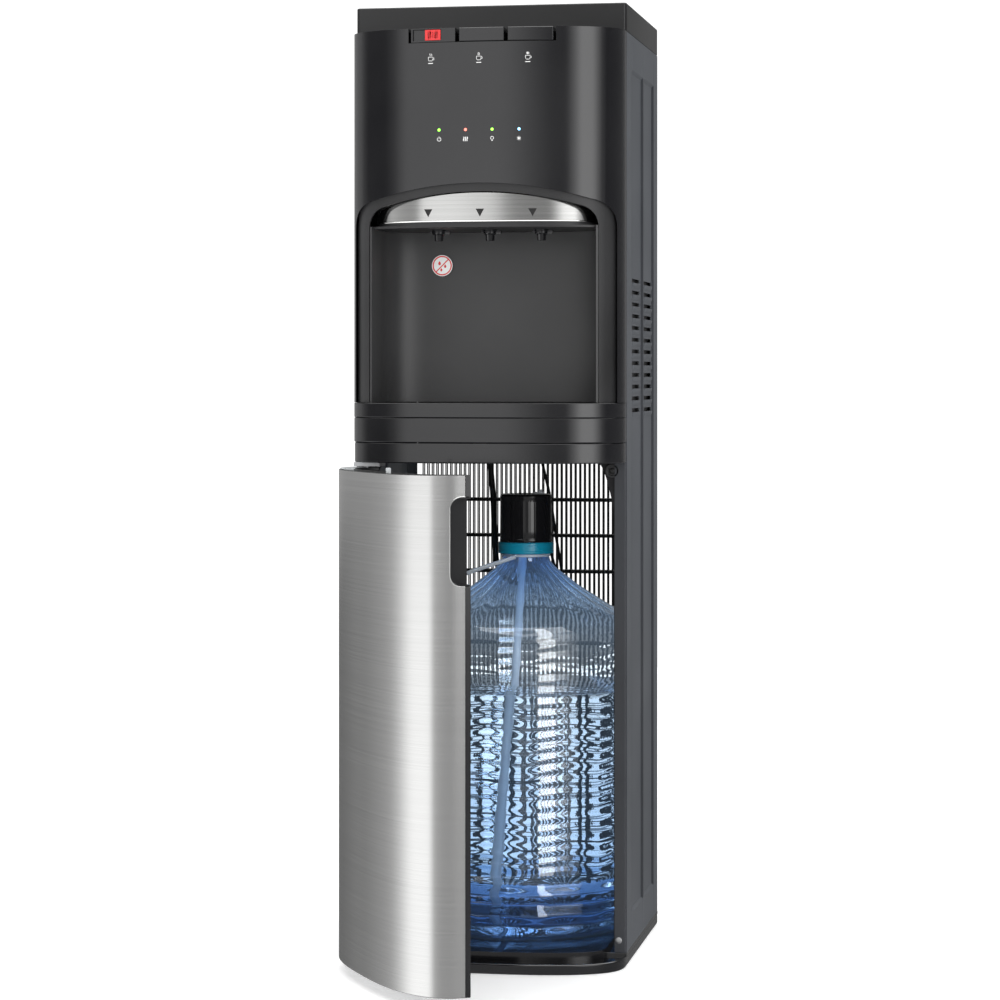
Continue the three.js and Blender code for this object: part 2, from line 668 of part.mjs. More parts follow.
// ---------------------------------------------------------------- assembly
add('side_panel_left', sidePanel(-1), 'darkPanel');
add('side_panel_right', sidePanel(1), 'darkPanel');
add('top_cover', topCover(), 'blackSatin');
add('fascia', fascia(), 'blackGloss');
add('alcove_frame', alcoveFrame(), 'blackSatin');
add('alcove_liner', alcoveLiner(), 'blackSatin');
add('spout_band', spoutBand(), 'steel');
['hot', 'room', 'cold'].forEach((name, i) => {
  add(`spout_${name}`, spout(TAP_X[i]), 'blackGloss');
  add(`button_${name}`, button(i), 'blackGloss');
  add(`line_${name}`, tube(LINES[name], 3.5, LINES[name].length * 2, 6), 'translucent');
});
add('child_lock_slider', childLock(), 'red');
['power', 'heating', 'light', 'cooling'].forEach((name, i) => add(`led_${name}`, ledLens(LED_X[i]), 'white'));
add('control_board', controlBoard(), 'board');
add('hot_water_sticker', sticker(), 'white');
add('band_upper', bandHigh(), 'blackGloss');
add('band_lower', bowedShell(0.6, WALL, BAND_LOW_Z), 'blackGloss');
add('drip_tray', dripTray(), 'blackGloss');
add('drip_grid', dripGrid(), 'blackSatin');
add('mid_shelf', midShelf(), 'blackSatin');
add('base_pan', basePan(), 'blackGloss');
add('front_post_left', frontPost(-1), 'blackSatin');
add('front_post_right', frontPost(1), 'blackSatin');
add('catch_boss', rodY(7.5, [FRONT, FRONT + 2.7], 134, 537, 20), 'blackSatin');
add('rear_panel', rearPanel(), 'darkPanel');
add('power_inlet', powerInlet(), 'blackSatin');
add('tank_shelf', tankShelf(), 'zinc');
add('condenser_wires_front', condenserWires(WIRE_FRONT_Y), 'blackSatin');
add('condenser_wires_back', condenserWires(COIL.y + COIL.r + 1.2), 'blackSatin');
add('condenser_coil', condenserCoil(), 'blackSatin');
add('compressor', compressor(), 'blackSatin');
add('pump', pump(), 'greyPlastic');
add('hot_tank', hotTank(), 'steel');
add('cold_tank', coldTank(), 'steel');
add('cold_tank_jacket', coldJacket(), 'foam');
add('supply_hose', tube(HOSE_ROUTE, HOSE_R, 32, 6), 'blackSatin');
add('probe_cable', tube(CABLE_ROUTE, CABLE_R, 32, 5), 'blackSatin');
add('bottle_shell', bottleShell(), 'clearBlue');
add('bottle_water', water(), 'water');
add('probe_cap', probeCap(), 'blackSatin');
add('cap_fitting', capFitting(), 'translucent');
add('cap_ring', capRing(), 'teal');
add('probe_tube', probeRod(5.6, 3.8), 'translucent');
add('neck_handle', neckHandle(), 'translucent');
add('door_skin', swung(doorSkin()), 'steel');
add('door_liner', swung(doorLiner()), 'blackSatin');
add('door_handle_cup', swung(handleCup()), 'darkPanel');
add('door_top_cap', swung(doorTopCap()), 'greyPlastic');
add('door_bottom_cap', swung(doorBottomCap()), 'blackSatin');
add('hinge_pin_top', rodZ(PIN_R, [526, 545.6], ...PIVOT, 20), 'zinc');
add('hinge_pin_bottom', rodZ(PIN_R, [4.5, 26], ...PIVOT, 20), 'zinc');
add('hinge_bracket_top', hingeBracket(), 'zinc');

export default root;
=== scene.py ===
# Floor-standing, bottom-loading water dispenser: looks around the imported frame.
# Blender's own values are metres. Outlines handed to the mesh helpers are millimetres.
from math import copysign, cos, pi, radians, sin

import bpy
import bmesh
import numpy as np
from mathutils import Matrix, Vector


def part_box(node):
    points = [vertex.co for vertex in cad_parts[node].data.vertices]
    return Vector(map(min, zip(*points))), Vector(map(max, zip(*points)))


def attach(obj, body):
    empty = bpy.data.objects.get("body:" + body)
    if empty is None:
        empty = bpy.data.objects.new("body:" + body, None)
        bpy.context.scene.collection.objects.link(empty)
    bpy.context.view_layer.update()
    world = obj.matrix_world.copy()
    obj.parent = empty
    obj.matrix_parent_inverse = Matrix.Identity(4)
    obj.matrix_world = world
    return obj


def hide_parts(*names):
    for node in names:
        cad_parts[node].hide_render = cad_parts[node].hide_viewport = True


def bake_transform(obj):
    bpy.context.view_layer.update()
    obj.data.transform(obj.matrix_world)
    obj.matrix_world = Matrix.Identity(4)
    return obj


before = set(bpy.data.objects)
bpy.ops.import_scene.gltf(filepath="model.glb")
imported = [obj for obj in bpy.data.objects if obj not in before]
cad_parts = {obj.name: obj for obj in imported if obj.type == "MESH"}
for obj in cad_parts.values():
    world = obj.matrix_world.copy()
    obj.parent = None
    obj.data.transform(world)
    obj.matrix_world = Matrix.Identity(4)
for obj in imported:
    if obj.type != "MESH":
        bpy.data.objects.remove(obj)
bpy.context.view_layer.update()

MM = 0.001

# ---- the CAD's driving dimensions, in mm
HALF, FRONT, BACK, BOW, POWER = 150.0, -131.0, 131.0, 68.0, 2.65
NOSE = FRONT - BOW
PIVOT = (-135.5, -144.5)
OPEN = radians(-58)
ARCH = dict(half=144, spring=826, top=847, corner=26)
MOUTH = dict(half=126, spring=820, top=838, corner=22)
TAPS = (-57, 0, 57)
TAP_Y = -133
LINER_BACK = -69
BOTTLE = (19.0, -14.0)
WATER_Z = 292.0
STEEL_BOW = dict(half=124, depth=62, power=2.9)
BAND_LOW, BAND_HIGH = 805.5, 838
KEYS_X, KEY_PITCH, SLOT_HALF = 2.5, 53, 80.5
LED_Z, KEY_SIGN_Z, LED_SIGN_Z = 904, 981, 894
LOUVRE_ROWS = [600 + 13 * i for i in range(12)]


def span(node):
    lo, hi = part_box(node)
    return lo.z / MM, hi.z / MM


def placed(name, data):
    made = bpy.data.objects.new(name, data)
    bpy.context.scene.collection.objects.link(made)
    return made


# ---- camera
cam_data = bpy.data.cameras.new("camera")
cam_data.lens = 108
cam_data.sensor_width = 36
cam_data.shift_y = -0.124
cam_data.clip_end = 60
camera = placed("camera", cam_data)
camera.location = (0.602, -3.353, 0.640)
camera.rotation_euler = (pi / 2, 0, radians(10.4))
bpy.context.scene.camera = camera


# ---- materials
def fill(tree, node, inputs):
    """Sets each input of a node to a value, or links it to a socket."""
    for key, value in inputs.items():
        if isinstance(value, bpy.types.NodeSocket):
            tree.links.new(value, node.inputs[key])
        else:
            node.inputs[key].default_value = value


def add(tree, kind, inputs, **settings):
    node = tree.nodes.new("ShaderNode" + kind)
    for name, value in settings.items():
        setattr(node, name, value)
    fill(tree, node, inputs)
    return node


def material(name):
    made = bpy.data.materials.new(name)
    made.use_nodes = True
    return made, made.node_tree, made.node_tree.nodes["Principled BSDF"]


def split(tree, space="Object"):
    return add(tree, "SeparateXYZ", {0: add(tree, "TexCoord", {}).outputs[space]}).outputs


def figured(tree, operation, *values):
    return add(tree, "Math", dict(enumerate(values)), operation=operation).outputs[0]


def noise(tree, scale, stretch=(1, 1, 1), detail=4.0):
    where = add(tree, "TexCoord", {}).outputs["Object"]
    mapped = add(tree, "Mapping", {"Vector": where, "Scale": stretch}).outputs["Vector"]
    return add(tree, "TexNoise", {"Vector": mapped, "Scale": scale, "Detail": detail}).outputs["Fac"]


def ramp(tree, fac, *stops):
    """A colour ramp through (position, colour) stops."""
    node = add(tree, "ValToRGB", {"Fac": fac})
    marks = node.color_ramp.elements
    marks[0].position, marks[1].position = stops[0][0], stops[-1][0]
    marks[0].color, marks[1].color = (*stops[0][1], 1), (*stops[-1][1], 1)
    for position, colour in stops[1:-1]:
        marks.new(position).color = (*colour, 1)
    return node.outputs["Color"]


def mottled(tree, fac, low, high):
    return ramp(tree, fac, (0.35, low), (0.65, high))


def remap(tree, value, start=0.0, end=1.0, low=0.0, high=1.0):
    limits = {"From Min": start, "From Max": end, "To Min": low, "To Max": high}
    return add(tree, "MapRange", {"Value": value, **limits}).outputs["Result"]


def multiplied(tree, factor, a, b):
    inputs = {"Factor": factor, "A": a, "B": b}
    return add(tree, "Mix", inputs, data_type="RGBA", blend_type="MULTIPLY").outputs["Result"]


def bump(tree, height, strength, distance, **normal):
    inputs = {"Strength": strength, "Distance": distance, "Height": height, **normal}
    return add(tree, "Bump", inputs).outputs["Normal"]


def surface(name, low, high, rough, grain, metal=0.0, cloud=9, coat=0.0, **more):
    """A moulded or painted surface: cloudy colour, uneven roughness and a fine grain in its bump."""
    made, tree, bsdf = material(name)
    cloudy = noise(tree, cloud)
    fill(tree, bsdf, {
        "Base Color": mottled(tree, cloudy, low, high),
        "Roughness": remap(tree, cloudy, low=rough[0], high=rough[1]),
        "Normal": bump(tree, noise(tree, grain[0], detail=2.0), *grain[1:]),
        "Metallic": metal, "Coat Weight": coat, "Coat Roughness": 0.08,
        **{socket.replace("_", " "): value for socket, value in more.items()}})
    return made


def brushed(name, low, high, rough, across, lean):
    """Steel brushed level: streaks round the piece, a faint drift of tone, and a normal leant in z."""
    made, tree, bsdf = material(name)
    streak = noise(tree, 1.0, (3, 3, across), 6.0)
    broad = noise(tree, 1.0, (1.2, 1.2, across / 9), 3.0)
    tone = figured(tree, "MULTIPLY_ADD", streak, 0.92, figured(tree, "MULTIPLY", broad, 0.08))
    normal = add(tree, "NewGeometry", {}).outputs["Normal"]
    leant = add(tree, "VectorMath", {0: normal, 1: (0, 0, lean)}, operation="ADD").outputs[0]
    level = add(tree, "VectorMath", {0: leant}, operation="NORMALIZE").outputs[0]
    fill(tree, bsdf, {
        "Base Color": ramp(tree, tone, (0.36, low), (0.64, high)),
        "Roughness": remap(tree, streak, low=rough[0], high=rough[1]),
        "Normal": bump(tree, streak, 0.08, 0.00003, Normal=level),
        "Metallic": 1.0})
    return made


TINT_TOP = 0.55
# Colour of the painted glow that the bottle and the water emit, though neither is a lamp.
PAINTED_GLOW_COLOUR = (0.52, 0.68, 0.88, 1)


def clear(name, low, high, ior, levels, grain, painted_glow):
    """A clear solid tinted by height: levels are (metres up, tint) pairs. Its emission is a painted glow that lifts
    its dark parts, stronger above 0.3 m.
    """
    made, tree, bsdf = material(name)
    up = split(tree)["Z"]
    tint = ramp(tree, remap(tree, up, end=TINT_TOP), *[(z / TINT_TOP, colour) for z, colour in levels])
    fill(tree, bsdf, {
        "Base Color": multiplied(tree, 1.0, mottled(tree, noise(tree, 14), low, high), tint),
        "Normal": bump(tree, noise(tree, grain[0]), *grain[1:]),
        "Roughness": 0.0, "Transmission Weight": 1.0, "IOR": ior, "Emission Color": PAINTED_GLOW_COLOUR,
        "Emission Strength": remap(tree, up, 0.30, 0.34, painted_glow, 2.6 * painted_glow)})
    return made


def glowing(name, colour, strength):
    made, tree, bsdf = material(name)
    fill(tree, bsdf, {
        "Base Color": mottled(tree, noise(tree, 900), tuple(0.8 * c for c in colour), colour),
        "Roughness": 0.25, "Emission Color": (*colour, 1), "Emission Strength": strength})
    return made


MATT, PRINT = (1500, 0.35, 0.00008), (1200, 0.1, 0.00003)
PAINTED = ((0.046, 0.051, 0.059), (0.060, 0.065, 0.074), (0.36, 0.46), (650, 0.35, 0.0001))
GLOSS = surface("gloss_black", (0.005, 0.005, 0.006), (0.008, 0.008, 0.009), (0.11, 0.16), (420, 0.06, 0.00003),
                coat=0.2)
SATIN = surface("satin_black", (0.012, 0.012, 0.0125), (0.019, 0.019, 0.020), (0.34, 0.44), MATT)
LID = surface("lid_black", (0.008, 0.008, 0.0085), (0.013, 0.013, 0.0135), (0.26, 0.34), (1500, 0.4, 0.0001),
              Specular_IOR_Level=0.40)
PAINT = surface("side_paint", *PAINTED)
SIDE = surface("side_sheet", *PAINTED)
INSIDE = surface("inside_paint", (0.008, 0.008, 0.009), (0.013, 0.013, 0.014), (0.38, 0.5), (650, 0.3, 0.0001),
                 Specular_IOR_Level=0.22)
STEEL = brushed("door_steel", (0.575, 0.575, 0.57), (0.635, 0.635, 0.63), (0.20, 0.27), 1500, -0.07)
BAND = brushed("band_steel", (0.62, 0.62, 0.61), (0.70, 0.70, 0.69), (0.13, 0.19), 1400, 0.17)
LINING = surface("alcove_lining", (0.036, 0.036, 0.037), (0.044, 0.044, 0.045), (0.34, 0.44), MATT)
ZINC = surface("zinc_plate", (0.42, 0.43, 0.44), (0.6, 0.6, 0.61), (0.3, 0.45), (300, 0.3, 0.0001), metal=1.0,
               cloud=60)
RED = surface("red_moulding", (0.55, 0.012, 0.014), (0.68, 0.02, 0.02), (0.22, 0.32), (900, 0.2, 0.00005),
              coat=0.3)
WHITE = surface("white_print", (0.80, 0.80, 0.79), (0.88, 0.88, 0.87), (0.4, 0.5), PRINT)
RED_INK = surface("red_print", (0.62, 0.03, 0.03), (0.7, 0.05, 0.05), (0.4, 0.5), PRINT)
BLACK_INK = surface("black_print", (0.006, 0.006, 0.006), (0.010, 0.010, 0.010), (0.35, 0.5), PRINT)
GREY = surface("grey_moulding", (0.42, 0.44, 0.45), (0.52, 0.54, 0.55), (0.35, 0.45), (1200, 0.3, 0.00006))
RUBBER = surface("black_rubber", (0.010, 0.010, 0.010), (0.018, 0.018, 0.018), (0.45, 0.6), (900, 0.4, 0.0001))
ENAMEL = surface("wire_enamel", (0.006, 0.006, 0.006), (0.012, 0.012, 0.012), (0.3, 0.42), (500, 0.3, 0.0001))
FOAM = surface("foam", (0.62, 0.56, 0.42), (0.74, 0.68, 0.54), (0.8, 0.95), (160, 0.8, 0.002))
BOARD = surface("board_green", (0.012, 0.07, 0.03), (0.02, 0.11, 0.045), (0.4, 0.55), (300, 0.3, 0.0002),
                cloud=80)
TEAL = surface("teal_moulding", (0.004, 0.20, 0.32), (0.008, 0.28, 0.42), (0.22, 0.34), (700, 0.2, 0.0001),
               coat=0.2)
PET_TINTS = ((0.02, (0.20, 0.32, 0.52)), (0.062, (0.26, 0.40, 0.62)), (0.09, (0.78, 0.86, 0.96)), (0.34, (1, 1, 1)),
             (0.385, (0.72, 0.84, 0.98)), (0.422, (0.34, 0.55, 0.88)), (0.45, (0.18, 0.38, 0.78)))
PET = clear("blue_bottle", (0.84, 0.90, 0.96), (0.90, 0.95, 0.98), 1.40, PET_TINTS, (45, 0.25, 0.0006), 0.013)
WATER_TINTS = ((0.02, (0.40, 0.52, 0.70)), (0.07, (0.55, 0.68, 0.84)), (0.11, (0.86, 0.91, 0.97)),
               (0.30, (0.90, 0.94, 0.98)))
WATER = clear("water", (0.72, 0.80, 0.86), (0.80, 0.86, 0.90), 1.333, WATER_TINTS, (14, 0.25, 0.002), 0.004)
# The probe tubing's emission is a painted glow: it stands in for the light that reaches it through the bottle and
# the water.
TUBING = surface("probe_tubing", (0.52, 0.60, 0.70), (0.60, 0.68, 0.77), (0.2, 0.32), (500, 0.2, 0.0001),
                 Emission_Color=(0.42, 0.52, 0.66, 1), Emission_Strength=0.28)
MILKY = surface("milky_plastic", (0.72, 0.78, 0.84), (0.82, 0.87, 0.92), (0.2, 0.32), (500, 0.2, 0.0001),
                Transmission_Weight=0.55, IOR=1.45)
SILICONE = surface("silicone", (0.66, 0.70, 0.73), (0.76, 0.79, 0.82), (0.3, 0.45), (400, 0.2, 0.0001),
                   Transmission_Weight=0.4)


def shaded_seams(made, seams, low, high, reach=0.0026):
    """Paints shade into a side sheet: darker paint in its upright folds and along its front edge."""
    tree = made.node_tree
    bsdf = tree.nodes["Principled BSDF"]
    at = split(tree)
    painted_shade_mask = figured(tree, "COMPARE", at["Y"], seams[0], reach)
    for y in seams[1:]:
        painted_shade_mask = figured(tree, "MAXIMUM", painted_shade_mask, figured(tree, "COMPARE", at["Y"], y, reach))
    span_z = figured(tree, "COMPARE", at["Z"], (low + high) / 2, (high - low) / 2)
    painted_shade_mask = figured(tree, "MULTIPLY", painted_shade_mask, span_z)
    painted_shade_mask = figured(tree, "MAXIMUM", painted_shade_mask, figured(tree, "COMPARE", at["Y"], FRONT * MM, 0.0030))
    paint = bsdf.inputs["Base Color"].links[0].from_socket
    # Painted shade: under the mask the paint is multiplied towards a darker grey.
    fill(tree, bsdf, {"Base Color": multiplied(tree, painted_shade_mask, paint, (0.42, 0.42, 0.44, 1))})


# The side sheets carry painted shade in their folds; otherwise SIDE is the same paint as PAINT.
shaded_seams(SIDE, (-0.086, 0.0025, 0.0095, 0.093), 0.052, 0.975)


# ---- mesh helpers
def swung(points):
    """Points of the closed door, turned to the open angle that the frame holds."""
    c, s = cos(OPEN), sin(OPEN)
    p = np.array(points, float)
    x, y = p[:, 0] - PIVOT[0], p[:, 1] - PIVOT[1]
    return np.column_stack([PIVOT[0] + c * x - s * y, PIVOT[1] + s * x + c * y, p[:, 2]])


def raw(name, verts, faces):
    mesh = bpy.data.meshes.new(name)
    mesh.from_pydata([tuple(v) for v in np.array(verts, float) * MM], [], [tuple(f) for f in faces])
    work = bmesh.new()
    work.from_mesh(mesh)
    bmesh.ops.remove_doubles(work, verts=work.verts, dist=2e-6)
    bmesh.ops.recalc_face_normals(work, faces=work.faces)
    work.to_mesh(mesh)
    work.free()
    return placed(name, mesh)


def baked(piece):
    """Applies the piece's modifiers."""
    bpy.context.view_layer.update()
    graph = bpy.context.evaluated_depsgraph_get()
    mesh = bpy.data.meshes.new_from_object(piece.evaluated_get(graph))
    piece.modifiers.clear()
    piece.data = mesh
    return piece


def thickened(sheet, thickness):
    """Gives a bare sheet its thickness, inward from the drawn face."""
    modifier = sheet.modifiers.new("thick", "SOLIDIFY")
    modifier.thickness = thickness * MM
    modifier.offset = -1
    return baked(sheet)


def cut(piece, *cutters, operation="DIFFERENCE"):
    for cutter in cutters:
        modifier = piece.modifiers.new("cut", "BOOLEAN")
        modifier.object = cutter
        modifier.operation = operation
        modifier.solver = "EXACT"
    baked(piece)
    for cutter in cutters:
        bpy.data.objects.remove(cutter)
    return piece


def done(piece, material, body, replaces=(), bevel=0.0, steps=2, sharp=32):
    """Rounds the edges, shades and dresses a piece, and puts it on its body."""
    piece.data.shade_smooth()
    if bevel:
        modifier = piece.modifiers.new("edge", "BEVEL")
        modifier.width = bevel * MM
        modifier.segments = steps
        modifier.limit_method = "ANGLE"
        modifier.angle_limit = radians(sharp)
        modifier.harden_normals = True
        baked(piece)
    mesh = piece.data
    if not bevel:
        mesh.set_sharp_from_angle(angle=radians(sharp))
    mesh.materials.clear()
    mesh.materials.append(material)
    if body == "door":
        flat = np.empty(len(mesh.vertices) * 3)
        mesh.vertices.foreach_get("co", flat)
        mesh.vertices.foreach_set("co", (swung(flat.reshape(-1, 3) / MM) * MM).ravel())
        mesh.update()
    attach(piece, body)
    if replaces:
        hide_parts(*replaces)
    return piece


def prism(name, outline, z0, z1, axis="z"):
    """A flat outline run along z, a front-view (x, z) one along y, or a side-view (y, z) one along x."""
    n = len(outline)
    slot = {"z": 2, "y": 1, "x": 0}[axis]
    verts = [(*p[:slot], t, *p[slot:]) for t in (z0, z1) for p in map(tuple, outline)]
    faces = [range(n), range(n, 2 * n)] + [(i, (i + 1) % n, n + (i + 1) % n, n + i) for i in range(n)]
    return raw(name, verts, faces)


def block(name, x, y, z):
    return prism(name, [(x[0], y[0]), (x[1], y[0]), (x[1], y[1]), (x[0], y[1])], *z)


def hoops(rows, sides):
    """The faces between rings of points that close on themselves."""
    return [(k * sides + i, k * sides + (i + 1) % sides, (k + 1) * sides + (i + 1) % sides, (k + 1) * sides + i)
            for k in range(rows - 1) for i in range(sides)]


def lathe(name, profile, centre, sides=64, axis="z", wave=None):
    """A (radius, height) profile turned about a line; wave(angle, r, h) can give each point's radius."""
    prof = np.array(profile, float)
    angles = np.arange(sides) * 2 * pi / sides
    verts = []
    for r, h in prof:
        radius = np.full(sides, r) if wave is None or r < 0.01 else wave(angles, r, h)
        a, b = radius * np.cos(angles), radius * np.sin(angles)
        if axis == "z":
            verts += [(centre[0] + i, centre[1] + j, h) for i, j in zip(a, b)]
        else:
            verts += [(centre[0] + i, h, centre[1] + j) for i, j in zip(a, b)]
    faces = hoops(len(prof), sides)
    for k, r in ((0, prof[0][0]), (len(prof) - 1, prof[-1][0])):
        if r > 0.01:
            faces.append(range(k * sides, (k + 1) * sides))
    return raw(name, verts, faces)


def through(points, per=12):
    """The smooth line that the CAD runs through a route's points."""
    p = [np.array(q, float) for q in points]
    p = [2 * p[0] - p[1], *p, 2 * p[-1] - p[-2]]
    line = []
    for i in range(1, len(p) - 2):
        for t in np.arange(per) / per:
            a, b, c, d = p[i - 1:i + 3]
            curve = (2 * a - 5 * b + 4 * c - d) * t * t + (3 * b - a - 3 * c + d) * t ** 3
            line.append(0.5 * (2 * b + (c - a) * t + curve))
    return np.array([*line, p[-2]])


def pipe(name, line, radius, sides=16):
    """A round bar along a line, or one of changing radius, capped at both ends."""
    line = np.array(line, float)
    n = len(line)
    radii = np.full(n, radius) if np.isscalar(radius) else np.array(radius, float)
    tangent = np.gradient(line, axis=0)
    tangent /= np.linalg.norm(tangent, axis=1)[:, None]
    normal = np.cross(tangent[0], (0.31, 0.77, 0.56))
    verts = []
    for i in range(n):
        normal = normal - tangent[i] * (normal @ tangent[i])
        normal /= np.linalg.norm(normal)
        side = np.cross(tangent[i], normal)
        for a in np.arange(sides) * 2 * pi / sides:
            verts.append(line[i] + radii[i] * (cos(a) * normal + sin(a) * side))
    return raw(name, verts, [range(sides), range((n - 1) * sides, n * sides), *hoops(n, sides)])


def merged(name, pieces):
    first = pieces[0]
    with bpy.context.temp_override(active_object=first, selected_editable_objects=pieces,
                                   selected_objects=pieces):
        bpy.ops.object.join()
    first.name = name
    return first


HOSE = [(-41, 85, 581.7), (-41, 85, 546), (-37, 84, 500), (-35, 85, 450), (-31, 84, 418), (-12, 76, 401),
        (6, 62, 420), (16, 46, 460), (19, 31, 483.4), (19, 22.2, 484)]
CABLE = [(-21.6, 90, 612), (2, 90, 606), (19, 86, 580), (20, 85, 546), (30, 85, 500), (38, 84, 450),
         (44, 82, 415), (45, 68, 402), (40, 44, 430), (34, 27, 471.5), (33.5, 17.3, 474)]
for cord_name, node, route, radius in (("hose", "supply_hose", HOSE, 3.4), ("cable", "probe_cable", CABLE, 1.7)):
    line = through(route)
    piece = pipe(cord_name, line, radius, 14)
    piece.data.shade_smooth()
    piece.data.materials.append(RUBBER)
    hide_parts(node)
    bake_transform(piece)


# ---- the bowed front's outlines
def bow(half, depth, power=POWER, steps=110):
    a = np.linspace(-pi / 2, pi / 2, 6001)
    x = half * np.sign(np.sin(a)) * np.abs(np.sin(a)) ** (2 / power)
    y = FRONT - depth * np.abs(np.cos(a)) ** (2 / power)
    along = np.concatenate([[0], np.cumsum(np.hypot(np.diff(x), np.diff(y)))])
    even = np.linspace(0, along[-1], steps + 1)
    return list(zip(np.interp(even, along, x), np.interp(even, along, y)))


def front(inset, steps=110):
    return bow(HALF - inset, BOW - inset, POWER, steps)


def face_y(x, inset=0.0, half=HALF, depth=BOW, power=POWER):
    half, depth = half - inset, depth - inset
    return FRONT - depth * max(0.0, 1 - (abs(x) / half) ** power) ** (1 / power)


def ring(name, inset, thickness, z0, z1, rear=FRONT - 0.3):
    """The bowed front as a shell of that thickness, open at the back."""
    outer = [p for p in front(inset) if p[1] < rear]
    inner = [p for p in front(inset + thickness) if p[1] < rear]
    outer = [(-HALF + inset, rear), *outer, (HALF - inset, rear)]
    inner = [(-HALF + inset + thickness, rear), *inner, (HALF - inset - thickness, rear)]
    return prism(name, outer + inner[::-1], z0, z1)


def arch(shape, floor, steps=18):
    """The arched opening's outline in front view."""
    h, spring, top, corner = shape["half"], shape["spring"], shape["top"], shape["corner"]

    def bend(a, b, c, n):
        t = np.linspace(0, 1, n)[:, None]
        a, b, c = (np.array(q, float) for q in (a, b, c))
        return [tuple(q) for q in (1 - t) ** 2 * a + 2 * t * (1 - t) * b + t * t * c]

    left = bend((-h, spring - corner), (-h, spring), (-h + corner, spring + 4), 10)
    over = bend((-h + corner, spring + 4), (0, 2 * top - spring - 4), (h - corner, spring + 4), 2 * steps)
    right = bend((h - corner, spring + 4), (h, spring), (h, spring - corner), 10)
    return [(-h, floor), *left, *over[1:-1], *right, (h, floor)]


def arch_height(shape, x):
    points = arch(shape, 0)[1:-1]
    xs, zs = zip(*points)
    return float(np.interp(x, xs, zs))


# ---- cabinet skin
def side_panel(side, node):
    """Sheet with rolled edges, two shallow pressed fields and two columns of hooded louvres."""
    z0, z1 = span(node)
    ys = {-131 + 2.5, -126, -118, 131 - 2.5, 122, 118, *np.linspace(-90, 98, 12)}
    fields = ((-87, 3), (9, 94))
    for a, b in fields:
        ys |= {a, a + 1.5, a + 3, b - 3, b - 1.5, b}
    louvres = ((-76, -11), (23, 88))
    for a, b in louvres:
        ys |= {a, a + 1.2, a + 3, a + 6, b - 6, b - 3, b - 1.2, b}
    zs = {z0, z1, z0 + 6, z1 - 6, 51, 52.5, 54, 976, 974.5, 973}
    zs |= {*np.linspace(70, 590, 14), *np.linspace(760, 970, 8)}
    for z in LOUVRE_ROWS:
        zs |= {z - 6.5, z - 5.5, z - 4, z - 2.5, z - 1, z, z + 4.4, z + 5}
    ys, zs = sorted(ys), sorted(zs)

    def sink(y, z):
        def sloped(v, a, b, w):
            return min(1.0, max(0.0, min(v - a, b - v) / w))

        depth = max(2.2 * min(sloped(y, a, b, 3), sloped(z, 51, 976, 3)) for a, b in fields)
        for a, b in louvres:
            for r in LOUVRE_ROWS:
                if r - 6.5 <= z <= r + 0.01 and a <= y <= b:
                    hood = sin(sloped(z, r - 6.5, r + 99, 6.5) * pi / 2)
                    depth -= 2.0 * hood * sloped(y, a, b, 4) ** 0.6
        return depth

    roll = [(137, -131), (143, -131)]
    for t in np.linspace(0, pi / 2, 6)[:-1]:
        roll.append((147.5 + 2.5 * sin(t), -128.5 - 2.5 * cos(t)))
    tail = [(x, -y) for x, y in roll[::-1]]
    columns = [*(("edge", *p) for p in roll), *(("flat", 0, y) for y in ys), *(("edge", *p) for p in tail)]
    verts = []
    for kind, x, y in columns:
        for z in zs:
            verts.append((side * (x if kind == "edge" else HALF - sink(y, z)), y, z))
    n = len(zs)
    faces = []
    for i in range(len(columns) - 1):
        for j in range(n - 1):
            middle_y, middle_z = (columns[i][2] + columns[i + 1][2]) / 2, (zs[j] + zs[j + 1]) / 2
            slit = any(a < middle_y < b for a, b in louvres) and any(r < middle_z < r + 4.4 for r in LOUVRE_ROWS)
            if not (slit and columns[i][0] == columns[i + 1][0] == "flat"):
                faces.append((i * n + j, i * n + j + 1, (i + 1) * n + j + 1, (i + 1) * n + j))
    piece = raw("panel_right" if side > 0 else "panel_left", verts, faces)
    if piece.data.polygons[len(piece.data.polygons) // 2].normal.x * side < 0:
        piece.data.flip_normals()
    thickened(piece, 1.0)
    return done(piece, SIDE, "cabinet", (node,), sharp=28)


side_panel(1, "side_panel_right")
side_panel(-1, "side_panel_left")
# Dark sheets behind the louvres: painted shade that keeps the slits dark, where the cabinet's inside would be in
# shade.
for side in (1, -1):
    shade_sheet_x = sorted((side * 142.2, side * 143.4))
    shade_sheet = block(f"louvre_shade_sheet_{'right' if side > 0 else 'left'}", shade_sheet_x, (-86, 96), (592, 752))
    done(shade_sheet, SATIN, "cabinet", ())

lid_z = span("top_cover")
corner = []
for cx, cy, start in ((HALF - 4, BACK - 4, 0), (-HALF + 4, BACK - 4, 1), (-HALF + 4, FRONT + 4, 2),
                      (HALF - 4, FRONT + 4, 3)):
    quarter = np.linspace(start, start + 1, 7) * pi / 2
    corner += [(cx + 4 * cos(a), cy + 4 * sin(a)) for a in quarter]
lid = prism("lid", corner, lid_z[0], lid_z[1])
done(lid, LID, "cabinet", ("top_cover",), bevel=1.6, steps=3)

fascia_z = span("fascia")
shell = ring("fascia_shell", 0, 3, *fascia_z)
ledge_outline = [p for p in front(0.5) if p[1] < -131.3]
ledge = prism("ledge", [(-149.5, -131.3), *ledge_outline, (149.5, -131.3)], fascia_z[1] - 3, fascia_z[1])
cut(shell, ledge, operation="UNION")
button_z = span("button_hot")
slot = block("cutter", (KEYS_X - SLOT_HALF, KEYS_X + SLOT_HALF), (NOSE - 5, NOSE + 30), (button_z[0] - 0.6, 1030))
cut(shell, slot, prism("cutter", arch(ARCH, 600), NOSE - 5, FRONT + 5, "y"))
done(shell, GLOSS, "cabinet", ("fascia",), bevel=1.3, steps=3, sharp=40)

